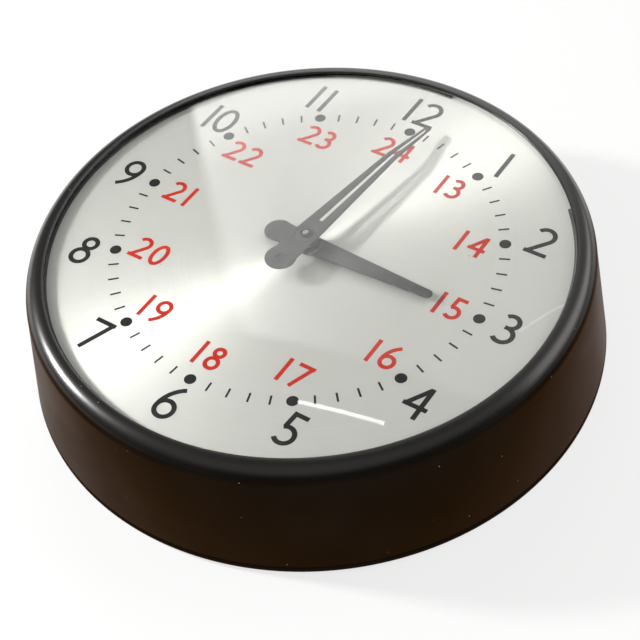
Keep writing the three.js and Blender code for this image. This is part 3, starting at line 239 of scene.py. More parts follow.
def finish_mesh(bm, name, crease=CREASE):
    """The same, with its doubles merged, its faces smooth and its creases sharp."""
    bmesh.ops.remove_doubles(bm, verts=bm.verts, dist=MERGE)
    piece = mesh_piece(bm, name)
    piece.data.shade_smooth()
    piece.data.set_sharp_from_angle(angle=math.radians(crease))
    return piece


def oval(x, y, radius_x, radius_y, start, end, steps=28):
    """Points on a part of an ellipse, in degrees anticlockwise from the right."""
    angles = [math.radians(start + (end - start) * i / steps) for i in range(steps + 1)]
    return [(x + radius_x * math.cos(a), y + radius_y * math.sin(a)) for a in angles]


def arc(centre_r, centre, radius, start, end, steps):
    """Points (radius, depth) on an arc, in degrees from outwards towards the front."""
    return oval(centre_r, centre, radius, radius, start, end, steps)


def turned(name, profile, sides=ROUND_SIDES, crease=CREASE):
    """A solid of revolution about the hands' axis, from a closed profile of (radius, depth)."""
    bm = bmesh.new()
    angles = [2 * math.pi * i / sides for i in range(sides)]
    rings = []
    for r, depth in profile:
        if r < TINY:
            rings.append([bm.verts.new((0, -depth, 0))] * sides)
        else:
            rings.append([bm.verts.new((r * math.sin(a), -depth, r * math.cos(a))) for a in angles])
    if profile[0][0] > TINY:
        rings.append(rings[0])
    for a, b in zip(rings, rings[1:]):
        for i in range(sides):
            j = (i + 1) % sides
            corners = list(dict.fromkeys([a[i], a[j], b[j], b[i]]))
            if len(corners) > 2:
                bm.faces.new(corners)
    return finish_mesh(bm, name, crease)


def evaluated_mesh(piece):
    graph = bpy.context.evaluated_depsgraph_get()
    return bpy.data.meshes.new_from_object(piece.evaluated_get(graph))


def settle(piece):
    """Turns a piece's modifiers into a plain mesh."""
    mesh = evaluated_mesh(piece)
    mesh.set_sharp_from_angle(angle=math.radians(CREASE))
    piece.modifiers.clear()
    piece.data = mesh
    piece.data.name = piece.name


def cut(piece, cutter):
    """Takes the cutter away from the piece and removes the cutter."""
    modifier = piece.modifiers.new("cut", "BOOLEAN")
    modifier.operation = "DIFFERENCE"
    modifier.solver = "EXACT"
    modifier.object = cutter
    settle(piece)
    bpy.data.objects.remove(cutter)


def place(piece, matrix):
    """Bakes a place into the mesh, so that the object stays at the origin."""
    piece.data.transform(matrix)
    piece.data.update()


def clockwise(degrees):
    return Matrix.Rotation(math.radians(degrees), 4, "Y")


def on_dial(radius, degrees):
    """A place (x, z) on a circle, in degrees clockwise from 12."""
    angle = math.radians(degrees)
    return radius * math.sin(angle), radius * math.cos(angle)


def circle_points(r, sides=SMALL_SIDES, x=0.0, z=0.0):
    return [(x + px, z + pz) for px, pz in (on_dial(r, 360 * i / sides) for i in range(sides))]


def plate(name, outlines, back, front, bevel):
    """A flat piece with rounded edges, from its outline and its holes as lists of (x, z)."""
    curve = bpy.data.curves.new(name, "CURVE")
    curve.dimensions = "2D"
    curve.fill_mode = "BOTH"
    curve.extrude = (front - back) / 2 - bevel
    curve.bevel_depth = bevel
    curve.bevel_resolution = 2
    curve.offset = -bevel
    for outline in outlines:
        spline = curve.splines.new("POLY")
        spline.points.add(len(outline) - 1)
        for point, (x, z) in zip(spline.points, outline):
            point.co = (x, z, 0, 1)
        spline.use_cyclic_u = True
    drawn = new_object(name + "_outline", curve)
    mesh = evaluated_mesh(drawn)
    bpy.data.objects.remove(drawn)
    bm = bmesh.new()
    bm.from_mesh(mesh)
    bpy.data.meshes.remove(mesh)
    standing = Matrix.Translation((0, -(back + front) / 2, 0)) @ Matrix.Rotation(math.pi / 2, 4, "X")
    bmesh.ops.transform(bm, matrix=standing, verts=bm.verts)
    return finish_mesh(bm, name, PLATE_CREASE)


# Strokes of the printed figures, one unit high, for a width and half a stroke's width
def figure_0(w, t):
    return [oval(w / 2, 0.5, w / 2 - t, 0.5 - t, 0, 360, 48)]


def figure_1(w, t):
    return [[(w / 2, 0), (w / 2, 1)]]


def figure_2(w, t):
    r = 0.3 - t
    cx = w - 0.33
    bowl = oval(cx, 0.7, r, r, 152, -38)
    return [bowl + [(t * 1.5, t)], [(0, t), (w, t)]]


def figure_3(w, t):
    waist = 0.54
    upper = (1 - t + waist) / 2
    lower = (waist + t) / 2
    cx = 0.4 * w
    return [
        oval(cx, upper, 0.92 * w - t - cx, 1 - t - upper, 140, -90),
        oval(cx, lower, w - t - cx, waist - lower, 90, -142),
        [(cx - 0.07, waist), (cx + 0.01, waist)],
    ]


def figure_4(w, t):
    stem = 0.72 * w
    bar = 0.36
    return [
        [(stem, 0), (stem, 1)],
        [(0, bar), (w, bar)],
        [(t * 0.9, bar - t * 0.6), (stem - t * 0.15, 1 - t * 0.55)],
    ]


def figure_5(w, t):
    r = 0.305
    return [
        [(0.2 * w, 1 - t), (0.93 * w, 1 - t)],
        [(0.2 * w + t, 1), (0.14 * w + t, 0.53)],
        oval(w - r, r, r - t, r - t, 128, -142),
    ]


def figure_6(w, t):
    r = w / 2
    ry = 0.305
    end_x = 0.76 * w
    sweep_r = ((end_x - t) ** 2 + (1 - ry) ** 2) / (2 * (end_x - t))
    end = math.degrees(math.atan2(1 - ry, end_x - t - sweep_r))
    return [
        oval(r, ry, r - t, ry - t, 0, 360, 40),
        oval(t + sweep_r, ry, sweep_r, sweep_r, 180, end, 14),
    ]


def figure_7(w, t):
    return [[(0, 1 - t), (w, 1 - t)], [(w - t, 1 - t * 0.5), (0.27 * w, 0)]]


def figure_8(w, t):
    low, high = 0.29, 0.24
    return [
        oval(w / 2, low, w / 2 - t, low - t, 0, 360, 40),
        oval(w / 2, 1 - high, 0.84 * w / 2 - t, high - t, 0, 360, 40),
    ]


def figure_9(w, t):
    return [[(w - x, 1 - y) for x, y in stroke] for stroke in figure_6(w, t)]


FIGURES = [
    (figure_0, 0.605), (figure_1, 0.0), (figure_2, 0.62), (figure_3, 0.515), (figure_4, 0.64),
    (figure_5, 0.565), (figure_6, 0.605), (figure_7, 0.6), (figure_8, 0.575), (figure_9, 0.59),
]
PAIR_GAPS = {"10": 0.115, "11": 0.257, "12": 0.17}
GAP_AFTER_1 = 0.25
GAP = 0.143


def number_strokes(text, height, stroke):
    """Centre lines of a number's strokes, centred on (0, 0), with the height given."""
    t = stroke / height / 2
    lines, x = [], 0
    for i, digit in enumerate(text):
        draw, width = FIGURES[int(digit)]
        width = width or 2 * t
        if i:
            x += PAIR_GAPS.get(text, GAP_AFTER_1 if text[0] == "1" or digit == "1" else GAP)
        for line in draw(width, t):
            lines.append([(x + px, py) for px, py in line])
        x += width
    return [[((px - x / 2) * height, (py - 0.5) * height) for px, py in line] for line in lines]


def ribbon(line, width):
    """Four-cornered pieces of a stroke with square ends, side by side along its centre line."""
    closed = math.dist(line[0], line[-1]) < TINY
    before = [line[-2] if closed else line[0], *line]
    after = [*line[1:], line[1] if closed else line[-1]]
    half = width / 2
    sides = []
    for a, (x, y), b in zip(before, line, after):
        along = Vector((b[0] - a[0], b[1] - a[1])).normalized()
        sides.append(((x - along.y * half, y + along.x * half), (x + along.y * half, y - along.x * half)))
    return [[*a, *reversed(b)] for a, b in zip(sides, sides[1:])]


def printed(name, quads, back, front):
    """One thin closed print from overlapping four-cornered pieces, which are joined flat first."""
    corners, faces = [], []
    for quad in quads:
        faces.append(list(range(len(corners), len(corners) + 4)))
        corners.extend(Vector(corner) for corner in quad)
    verts, _, tris, _, _, from_faces = delaunay_2d_cdt(corners, [], faces, 1, MERGE)
    bm = bmesh.new()
    low = [bm.verts.new((x, -back, z)) for x, z in verts]
    high = [bm.verts.new((x, -front, z)) for x, z in verts]
    edges = {}
    for tri, source in zip(tris, from_faces):
        if source:
            bm.faces.new([low[i] for i in tri])
            bm.faces.new([high[i] for i in reversed(tri)])
            edges.update(dict.fromkeys(zip(tri, tri[1:] + tri[:1])))
    for a, b in edges:
        if (b, a) not in edges:
            bm.faces.new([low[a], low[b], high[b], high[a]])
    loose = [v for v in bm.verts if not v.link_faces]
    bmesh.ops.delete(bm, geom=loose, context="VERTS")
    return mesh_piece(bm, name)


# Node helpers. A node that is given as a value stands for its first output
def feed(tree, target, value):
    """Links an input to an output, or sets it. One number fills a vector, and is a grey as a colour."""
    if isinstance(value, bpy.types.Node):
        value = value.outputs[0]
    if isinstance(value, bpy.types.NodeSocket):
        tree.links.new(value, target)
    elif hasattr(target.default_value, "__len__"):
        parts = value if hasattr(value, "__len__") else (value, value, value)
        target.default_value = (*parts, 1.0)[: len(target.default_value)]
    else:
        target.default_value = value


def fill(tree, node, **inputs):
    """Feeds a node's inputs. An input's name has _ for a space, and in0 is input 0."""
    for key, value in inputs.items():
        number = key.removeprefix("in")
        feed(tree, node.inputs[int(number) if number.isdigit() else key.replace("_", " ")], value)
    return node


def make(tree, kind, settings=None, **inputs):
    """A node with its settings and inputs. A shader node's kind is given without its ShaderNode."""
    node = tree.nodes.new(kind if "Node" in kind else "ShaderNode" + kind)
    for key, value in (settings or {}).items():
        setattr(node, key, value)
    return fill(tree, node, **inputs)


def use(tree, group, **inputs):
    """Places a node group, and gives its outputs."""
    return make(tree, "Group", {"node_tree": group}, **inputs).outputs


def maths(tree, operation, a, b=0.0, c=0.0):
    return make(tree, "Math", {"operation": operation}, in0=a, in1=b, in2=c)


def times(tree, a, b):
    return maths(tree, "MULTIPLY", a, b)


def ramp(tree, value, low, high, to_low=0.0, to_high=1.0):
    settings = {"clamp": True, "interpolation_type": "SMOOTHSTEP"}
    inputs = {"From_Min": low, "From_Max": high, "To_Min": to_low, "To_Max": to_high}
    return make(tree, "MapRange", settings, Value=value, **inputs)


def blend(tree, factor, a, b):
    return make(tree, "Mix", {"data_type": "RGBA"}, in0=factor, in6=a, in7=b).outputs[2]


def vector(tree, x=0.0, y=0.0, z=0.0):
    return make(tree, "CombineXYZ", X=x, Y=y, Z=z)


def object_place(tree):
    return make(tree, "TexCoord").outputs["Object"]


def object_axes(tree):
    return make(tree, "SeparateXYZ", Vector=object_place(tree)).outputs


def radius_of(tree, x=0.0, z=0.0):
    """Distance from the hands' axis, or from a line beside it through (x, z)."""
    axes = object_axes(tree)
    flat = vector(tree, axes[0], axes[2])
    return make(tree, "VectorMath", {"operation": "DISTANCE"}, in0=flat, in1=(x, z, 0)).outputs["Value"]


def ring_mask(tree, radius, middle, width):
    """One on a circle, fading to nothing at half the width to either side."""
    off = maths(tree, "ABSOLUTE", maths(tree, "SUBTRACT", radius, middle))
    return ramp(tree, off, 0, width / 2, 1, 0)


def add_socket(tree, name, way, kind):
    return tree.interface.new_socket(name, in_out=way, socket_type="NodeSocket" + kind)


def add_sizes(tree, sizes):
    """Gives a node tree its float inputs {name: default}."""
    for name, value in sizes.items():
        add_socket(tree, name, "INPUT", "Float").default_value = value


def new_group(name, sizes, outputs):
    """A shader node group with float inputs {name: default} and outputs {name: type}."""
    group = bpy.data.node_groups.new(name, "ShaderNodeTree")
    add_sizes(group, sizes)
    for key, kind in outputs.items():
        add_socket(group, key, "OUTPUT", kind)
    return group, group.nodes.new("NodeGroupInput").outputs, group.nodes.new("NodeGroupOutput")


def dust_group():
    """Small pale specks and a patchy film, as masks over the surface."""
    sizes = {"Speck Scale": 400, "Speck Size": 0.1, "Speck Share": 0.1}
    group, start, end = new_group("dust", sizes, {"Specks": "Float", "Film": "Float"})
    place_on = object_place(group)
    cells = make(group, "TexVoronoi", Vector=place_on, Scale=start["Speck Scale"]).outputs
    near = maths(group, "LESS_THAN", cells["Distance"], start["Speck Size"])
    pick = make(group, "SeparateColor", Color=cells["Color"])
    chosen = maths(group, "LESS_THAN", pick, start["Speck Share"])
    film = make(group, "TexNoise", Vector=place_on, Scale=14, Detail=5, Roughness=0.6)
    fill(group, end, Specks=times(group, near, chosen), Film=ramp(group, film, 0.4, 0.72))
    return group


def rings_group():
    """Fine turned or circular-brushed lines about the hands' axis, and wider bands."""
    sizes = {"Lines": 9000, "Drift": 0.02}
    group, start, end = new_group("turned_lines", sizes, {"Lines": "Float", "Bands": "Float"})
    axes = object_axes(group)
    radius = radius_of(group)
    slow = times(group, maths(group, "ARCTAN2", axes[0], axes[2]), start["Drift"])
    band_scale = 900
    flat = {"noise_dimensions": "2D"}
    fine_at = vector(group, times(group, radius, start["Lines"]), slow)
    fine = make(group, "TexNoise", flat, Vector=fine_at, Scale=1, Detail=2)
    wide_at = vector(group, times(group, radius, band_scale), slow)
    wide = make(group, "TexNoise", flat, Vector=wide_at, Scale=1, Detail=3)
    fill(group, end, Lines=fine, Bands=wide)
    return group


def grain_group():
    """A fine even surface texture, as a normal and a patchy mask for the gloss."""
    sizes = {"Grain Scale": 900, "Depth": 0.02, "Patch Scale": 25}
    group, start, end = new_group("surface_grain", sizes, {"Normal": "Vector", "Patches": "Float"})
    place_on = object_place(group)
    fine = make(group, "TexNoise", Vector=place_on, Scale=start["Grain Scale"], Detail=3)
    bump = make(group, "Bump", Height=fine, Strength=start["Depth"], Distance=0.001)
    patch = make(group, "TexNoise", Vector=place_on, Scale=start["Patch Scale"], Detail=4)
    fill(group, end, Normal=bump, Patches=ramp(group, patch, 0.35, 0.68))
    return group


DUST = dust_group()
RINGS = rings_group()
GRAIN = grain_group()


# Finishes
def new_material(name):
    material = bpy.data.materials.new(name)
    material.use_nodes = True
    return material, material.node_tree


def shaded(material, **looks):
    """Feeds the material's own shader, and gives the material back."""
    tree = material.node_tree
    fill(tree, tree.nodes["Principled BSDF"], **looks)
    return material


def satin_case():
    """Brown-black japanned side, whose brown metallic tone and warm tint are partly a painted reflection of warm
    surroundings, with a smoother black shoulder and front lip.
    """
    material, tree = new_material("satin_black_case")
    grain = use(tree, GRAIN, Grain_Scale=1500, Depth=0.03, Patch_Scale=18)
    dust = use(tree, DUST, Speck_Scale=330, Speck_Size=0.09, Speck_Share=0.05)
    patches = grain["Patches"]
    # Partly painted reflection: the side's brown metallic tone stands for warm surroundings mirrored in it, besides
    # its own brown-black
    side = blend(tree, patches, (0.008, 0.0056, 0.0038), (0.0115, 0.008, 0.0055))
    from_y, to_y = [-SHOULDER_AT - share * SHOULDER_ROUND for share in (0.4, 0.75)]
    shoulder = ramp(tree, object_axes(tree)[1], from_y, to_y)
    base = blend(tree, shoulder, side, (0.004, 0.0037, 0.0032))
    dusty = blend(tree, times(tree, dust["Film"], 0.006), base, (0.32, 0.27, 0.22))
    return shaded(
        material,
        Base_Color=blend(tree, times(tree, dust["Specks"], 0.5), dusty, (0.75, 0.72, 0.68)),
        Metallic=maths(tree, "SUBTRACT", 1.0, shoulder),
        Roughness=ramp(tree, patches, 0, 1, 0.38, 0.44),
        Normal=grain["Normal"],
        Specular_IOR_Level=0.1,
        # The warm tint of the reflection is partly painted reflection too
        Specular_Tint=(0.64, 0.54, 0.49),
        Coat_Weight=shoulder,
        Coat_Roughness=0.25,
    )


def clear_glass():
    """Glass that lets the lamps' light through to the dial."""
    material, tree = new_material("clear_glass")
    lets_through = make(tree, "BsdfTransparent", Color=(0.96, 0.97, 0.965))
    shadow = make(tree, "LightPath").outputs["Is Shadow Ray"]
    mixed = make(tree, "MixShader", in0=shadow, in1=tree.nodes["Principled BSDF"], in2=lets_through)
    fill(tree, tree.nodes["Material Output"], Surface=mixed)
    return shaded(material, Base_Color=(0.985, 0.995, 0.99), Transmission_Weight=1, IOR=1.5, Roughness=0)


def brushed_dial():
    """Circular-brushed aluminium with a few dark specks in its lacquer."""
    material, tree = new_material("circular_brushed_aluminium")
    lines = use(tree, RINGS, Lines=6000, Drift=0.6)
    dust = use(tree, DUST, Speck_Scale=60, Speck_Size=0.028, Speck_Share=0.16)
    fine = ramp(tree, lines["Lines"], 0.25, 0.75)
    bands = ramp(tree, lines["Bands"], 0.3, 0.7)
    tone = blend(tree, fine, (0.495, 0.49, 0.463), (0.545, 0.54, 0.51))
    tone = blend(tree, bands, tone, (0.53, 0.525, 0.495))
    return shaded(
        material,
        Base_Color=blend(tree, times(tree, dust["Specks"], 0.6), tone, (0.12, 0.12, 0.1)),
        Metallic=0.5,
        Specular_IOR_Level=0.2,
        Roughness=ramp(tree, bands, 0, 1, 0.62, 0.67),
        Anisotropic=0.8,
        Anisotropic_Rotation=0.25,
        Tangent=make(tree, "Tangent", {"direction_type": "RADIAL", "axis": "Y"}),
        Normal=make(tree, "Bump", Height=lines["Lines"], Strength=0.03, Distance=0.001),
    )


def ink(name, tone, thin):
    """Printing ink, a little thinner in places."""
    material, tree = new_material(name)
    grain = use(tree, GRAIN, Grain_Scale=2500, Depth=0.05, Patch_Scale=300)
    return shaded(
        material,
        Base_Color=blend(tree, grain["Patches"], tone, thin),
        Roughness=ramp(tree, grain["Patches"], 0, 1, 0.42, 0.55),
        Normal=grain["Normal"],
        Specular_IOR_Level=0.05,
    )


def painted_hand(name, ring_from, ring_to, hub_painted_shade, dimple=None):
    """Grey painted sheet with small marks, and an embossed ring about the hub with a patchy painted highlight along
    it.

    The colour is darker inside the ring, as painted shade near the hub by the share given, and a ring of painted
    shade follows the dimple's rim when its place (x, z) is given.
    """
    material, tree = new_material(name)
    grain = use(tree, GRAIN, Grain_Scale=1800, Depth=0.08, Patch_Scale=110)
    dust = use(tree, DUST, Speck_Scale=700, Speck_Size=0.2, Speck_Share=0.07)
    patches = grain["Patches"]
    tone = blend(tree, patches, (0.044, 0.043, 0.043), (0.066, 0.064, 0.063))
    tone = blend(tree, times(tree, dust["Film"], 0.5), tone, (0.036, 0.036, 0.035))
    tone = blend(tree, times(tree, dust["Specks"], 0.35), tone, (0.4, 0.4, 0.38))
    radius = radius_of(tree)
    # Painted shade near the hub: the colour darkens inside the ring by the share given
    tone = blend(tree, ramp(tree, radius, ring_from, ring_from * 0.9, 0, hub_painted_shade), tone, 0.01)
    if dimple:
        # Painted shade in a ring round the dimple's rim
        dimple_rim_shade = ring_mask(tree, radius_of(tree, *dimple), DIMPLE_R, 0.9 * MM)
        tone = blend(tree, times(tree, dimple_rim_shade, 0.6), tone, 0.01)
    ridge = ring_mask(tree, radius, (ring_from + ring_to) / 2, ring_to - ring_from)
    # Painted highlight along the embossed ring, patchy in places
    bright = times(tree, ridge, maths(tree, "MULTIPLY_ADD", patches, 0.65, 0.1))
    return shaded(
        material,
        Base_Color=blend(tree, bright, tone, (0.42, 0.42, 0.4)),
        Roughness=ramp(tree, patches, 0, 1, 0.4, 0.52),
        Specular_IOR_Level=0.25,
        Metallic=0.2,
        Normal=make(tree, "Bump", Height=ridge, Strength=0.6, Distance=0.0003, Normal=grain["Normal"]),
    )


def metal(name, tone, dark, roughness, lines=0):
    """Bare metal with handling marks, and turning lines about the axis where lines is given."""
    material, tree = new_material(name)
    grain = use(tree, GRAIN, Grain_Scale=700, Depth=0.05, Patch_Scale=90)
    mask = grain["Patches"]
    if lines:
        mask = times(tree, mask, use(tree, RINGS, Lines=lines, Drift=0.4)["Lines"])
    return shaded(
        material,
        Base_Color=blend(tree, mask, tone, dark),
        Roughness=ramp(tree, grain["Patches"], 0, 1, roughness, roughness + 0.15),
        Normal=grain["Normal"],
        Metallic=1,
    )


def two_tone_steel(name, bright_r):
    """Steel that is bright inside a radius about the hands' axis, and coloured almost black outside it."""
    material, tree = new_material(name)
    grain = use(tree, GRAIN, Grain_Scale=700, Depth=0.05, Patch_Scale=400)
    patches = grain["Patches"]
    outside = ramp(tree, radius_of(tree), bright_r - 0.1 * MM, bright_r + 0.15 * MM)
    bright = blend(tree, patches, (0.36, 0.355, 0.34), (0.12, 0.117, 0.11))
    dark = blend(tree, patches, 0.004, (0.02, 0.02, 0.019))
    return shaded(
        material,
        Base_Color=blend(tree, outside, bright, dark), Normal=grain["Normal"], Metallic=0.9, Roughness=0.3,
    )


def plain_coat(name, tone, patch, roughness, depth=0.08):
    """Paint, plastic or rubber with a fine grain and a little handling wear."""
    material, tree = new_material(name)
    grain = use(tree, GRAIN, Grain_Scale=1200, Depth=depth, Patch_Scale=30)
    film = use(tree, DUST, Speck_Scale=500, Speck_Size=0.1, Speck_Share=0.06)["Film"]
    base = blend(tree, grain["Patches"], tone, patch)
    return shaded(
        material,
        Base_Color=blend(tree, times(tree, film, 0.12), base, (0.5, 0.47, 0.42)),
        Roughness=ramp(tree, grain["Patches"], 0, 1, roughness, roughness + 0.12),
        Normal=grain["Normal"],
    )


def wound_wire():
    """Fine enamelled wire, wound across the upright axis of its bobbin, its colour banded with painted shade between
    the turns and a painted highlight on each.
    """
    material, tree = new_material("wound_copper_wire")
    wave = maths(tree, "SINE", times(tree, object_axes(tree)[2], 2 * math.pi / WIRE_PITCH))
    return shaded(
        material,
        # Painted shade between the turns and painted highlight on them, following the wave of the bump
        Base_Color=blend(tree, ramp(tree, wave, -1, 1), (0.2, 0.06, 0.025), (0.62, 0.24, 0.1)),
        Normal=make(tree, "Bump", Height=wave, Strength=0.7, Distance=0.0001),
        Metallic=0.8,
        Roughness=0.35,
    )


case_black = satin_case()
glass_clear = clear_glass()
dial_metal = brushed_dial()
ring_black = plain_coat("matt_black_ring", 0.012, 0.02, 0.6)
ink_black = ink("black_ink", (0.004, 0.004, 0.0035), (0.01, 0.0095, 0.009))
ink_red = ink("red_ink", (0.33, 0.008, 0.0008), (0.37, 0.014, 0.002))
hour_grey = painted_hand("grey_paint_hour_hand", 8.4 * MM, 9.9 * MM, 0.5)
minute_grey = painted_hand("grey_paint_minute_hand", 3 * MM, 3.7 * MM, 0.3, on_dial(-MINUTE_TAIL, minute_turn))
brass = metal("lacquered_brass", (0.68, 0.49, 0.2), (0.5, 0.33, 0.12), 0.28)
steel = metal("bright_steel", (0.62, 0.62, 0.61), (0.42, 0.41, 0.4), 0.25, 12000)
nut_steel = two_tone_steel("nut_steel", NUT_BRIGHT_R)
zinc = metal("zinc_plated_steel", (0.55, 0.56, 0.56), (0.42, 0.43, 0.42), 0.38)
iron = metal("soft_iron", 0.3, (0.2, 0.195, 0.19), 0.5)
grey_paint = plain_coat("grey_paint", (0.24, 0.25, 0.25), (0.29, 0.3, 0.295), 0.5)
bobbin_plastic = plain_coat("bobbin_plastic", (0.03, 0.028, 0.026), (0.045, 0.04, 0.037), 0.45)
terminal_brown = plain_coat("brown_phenolic", (0.06, 0.028, 0.015), (0.09, 0.04, 0.02), 0.3, 0.03)
lead_red = plain_coat("sleeved_lead", (0.33, 0.025, 0.02), (0.4, 0.05, 0.035), 0.7)
copper = wound_wire()


def coat(piece, material):
    piece.data.materials.clear()
    piece.data.materials.append(material)


def add_piece(piece, body, slot, material, *nodes):
    """Gives a finished piece its material, its body and the nodes that it stands for."""
    coat(piece, material)
    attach(piece, body)
    if nodes:
        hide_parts(*nodes)


# Case
def side_radius(depth):
    flare = CASE_R - SHOULDER_R
    return CASE_R - flare * (depth - BACK_ROUND) / (SHOULDER_AT - BACK_ROUND)


def make_case():
    bead = BACK_ROUND + BEAD_AT
    dips = ((bead - 2 * BEAD_R, 0), (bead, BEAD_R), (bead + 2 * BEAD_R, 0))
    groove = [(side_radius(depth) - dip, depth) for depth, dip in dips]
    rim_foot = RIM_DEPTH + RIM_CHAMFER
    bore_r = GLASS_R + BORE_GAP
    profile = [
        (REBATE_R, EDGE_ROUND),
        (REBATE_R + EDGE_ROUND, 0),
        *arc(CASE_R - BACK_ROUND, BACK_ROUND, BACK_ROUND, -90, 0, 10),
        *groove,
        *arc(RIDGE_R, SHOULDER_AT, SHOULDER_ROUND, 0, 90, 32),
        *arc(RIDGE_R, case_front - LIP_ROUND, LIP_ROUND, 90, 180, 8),
        (OPENING_R, case_front - LIP_THICK + EDGE_ROUND),
        (OPENING_R + EDGE_ROUND, case_front - LIP_THICK),
        (bore_r, case_front - LIP_THICK),
        (bore_r, LEDGE_AT),
        (LEDGE_R, LEDGE_AT),
        (side_radius(rim_foot) - CASE_WALL, rim_foot),
        (RIM_R, RIM_DEPTH),
        (RIM_R, REBATE_AT),
        (REBATE_R, REBATE_AT),
    ]
    case = turned("case", profile)
    add_piece(case, "case", "satin_black", case_black, "case_shell")


# Glass and the ring behind it
def make_glass():
    dome_r = OPENING_R - GLASS_FLAT
    rise = glass_apex - GLASS_FRONT
    sphere_r = (dome_r**2 + rise**2) / (2 * rise)
    front = []
    for i in range(DOME_STEPS + 1):
        r = dome_r * i / DOME_STEPS
        front.append((r, glass_apex - sphere_r + math.sqrt(sphere_r**2 - r * r)))
    rim = [
        (GLASS_R - EDGE_ROUND, GLASS_FRONT),
        (GLASS_R, GLASS_FRONT - EDGE_ROUND),
        (GLASS_R, glass_back + EDGE_ROUND),
        (GLASS_R - EDGE_ROUND, glass_back),
    ]
    back = [(r, depth - GLASS_THICK) for r, depth in reversed(front)]
    glass = turned("domed_glass", front + rim + back, crease=GLASS_CREASE)
    add_piece(glass, "case", "clear_glass", glass_clear, "glass")


def make_glass_ring():
    """The split ring, with its ends open past 12."""
    outer_r = -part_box("glass_ring")[0].x
    gap_from, gap_to = SPLIT_RING_GAP
    outer, inner = [], []
    for i in range(SPLIT_RING_STEPS + 1):
        degrees = gap_to + (360 + gap_from - gap_to) * i / SPLIT_RING_STEPS
        outer.append(on_dial(outer_r, degrees))
        inner.append(on_dial(outer_r - SPLIT_RING_WIDTH, degrees))
    ring = plate("split_ring", [outer + inner[::-1]], ring_back, ring_front, BEVEL)
    add_piece(ring, "case", "ring_black", ring_black, "glass_ring")


# Dial and its print
def make_dial():
    dial = turned("brushed_dial", [
        (DIAL_HOLE_R, dial_back),
        (GLASS_R, dial_back),
        (GLASS_R, dial_front - DIAL_EDGE),
        (GLASS_R - DIAL_EDGE, dial_front),
        (DIAL_HOLE_R + DIAL_EDGE, dial_front),
        (DIAL_HOLE_R, dial_front - DIAL_EDGE),
    ])
    add_piece(dial, "case", "brushed_dial", dial_metal, "dial")


def new_growth(name, sizes, material):
    """A Geometry Nodes tree with float inputs {name: default} and a material input."""
    tree = bpy.data.node_groups.new(name, "GeometryNodeTree")
    add_sizes(tree, sizes)
    add_socket(tree, material, "INPUT", "Material")
    add_socket(tree, "Geometry", "OUTPUT", "Geometry")
    return tree, tree.nodes.new("NodeGroupInput").outputs, tree.nodes.new("NodeGroupOutput")


def joined(tree, *shapes):
    join = make(tree, "GeometryNodeJoinGeometry")
    for shape in shapes:
        feed(tree, join.inputs[0], shape)
    return join


def dress_growth(tree, geometry, material, end):
    """Ends a tree with plain geometry in its material."""
    real = make(tree, "GeometryNodeRealizeInstances", Geometry=geometry)
    feed(tree, end.inputs[0], make(tree, "GeometryNodeSetMaterial", Geometry=real, Material=material))
    return tree


def minute_track_tree():
    """Ticks at the minutes and dots at the hours, drawn in XY and stood up to face -Y."""
    sizes = {"Circle": DOT_CIRCLE, "Dot": DOT_R, "Length": TICK_LENGTH, "Width": TICK_WIDTH, "Ink": INK, "Front": 0.0}
    tree, start, end = new_growth("minute_track", sizes, "Ink Material")
    minutes, to_next_hour = 60, 5.0
    circle = make(tree, "GeometryNodeMeshCircle", Vertices=minutes, Radius=start["Circle"])
    index = make(tree, "GeometryNodeInputIndex")
    past_hour = maths(tree, "MODULO", index, to_next_hour)
    less = {"data_type": "FLOAT", "operation": "LESS_THAN"}
    hour = make(tree, "FunctionNodeCompare", less, in0=past_hour, in1=0.5)
    minute = make(tree, "FunctionNodeBooleanMath", {"operation": "NOT"}, in0=hour)
    turn = vector(tree, z=times(tree, index, 2 * math.pi / minutes))
    tick = make(tree, "GeometryNodeMeshCube", Size=vector(tree, start["Length"], start["Width"], start["Ink"]))
    dot = make(tree, "GeometryNodeMeshCylinder", Vertices=48, Radius=start["Dot"], Depth=start["Ink"])
    ticks, dots = [
        make(tree, "GeometryNodeInstanceOnPoints", Points=circle, Selection=chosen, Instance=shape, Rotation=turn)
        for chosen, shape in ((minute, tick), (hour, dot))
    ]
    height = maths(tree, "MULTIPLY_ADD", start["Ink"], 0.5, start["Front"])
    stood = make(
        tree, "GeometryNodeTransform", Geometry=joined(tree, ticks, dots),
        Translation=vector(tree, y=times(tree, height, -1.0)), Rotation=(math.pi / 2, 0, 0),
    )
    return dress_growth(tree, stood, start["Ink Material"], end)


def grown(name, tree, values):
    """A plain mesh object from a Geometry Nodes tree with its named inputs set."""
    piece = new_object(name, bpy.data.meshes.new(name))
    modifier = piece.modifiers.new(name, "NODES")
    modifier.node_group = tree
    for item in tree.interface.items_tree:
        if item.name in values:
            modifier[item.identifier] = values[item.name]
    settle(piece)
    return piece


def make_print():
    lift = 0.005 * MM
    back = dial_front + lift
    track = grown("minute_track", minute_track_tree(), {"Front": back, "Ink Material": ink_black})
    add_piece(track, "case", "ring_black", ink_black)
    for (name, first, circle, height, stroke), material in zip(FIGURE_RINGS, (ink_black, ink_red)):
        quads = []
        for value in range(first, first + 12):
            x, z = on_dial(circle, 30 * value)
            nudge_x, nudge_z = NUDGES.get(value, (0, 0))
            for line in number_strokes(str(value), height, stroke):
                moved = [(x + nudge_x * MM + px, z + nudge_z * MM + pz) for px, pz in line]
                quads.extend(ribbon(moved, stroke))
        figures = printed(name, quads, back, back + INK)
        add_piece(figures, "case", "ring_black", material)


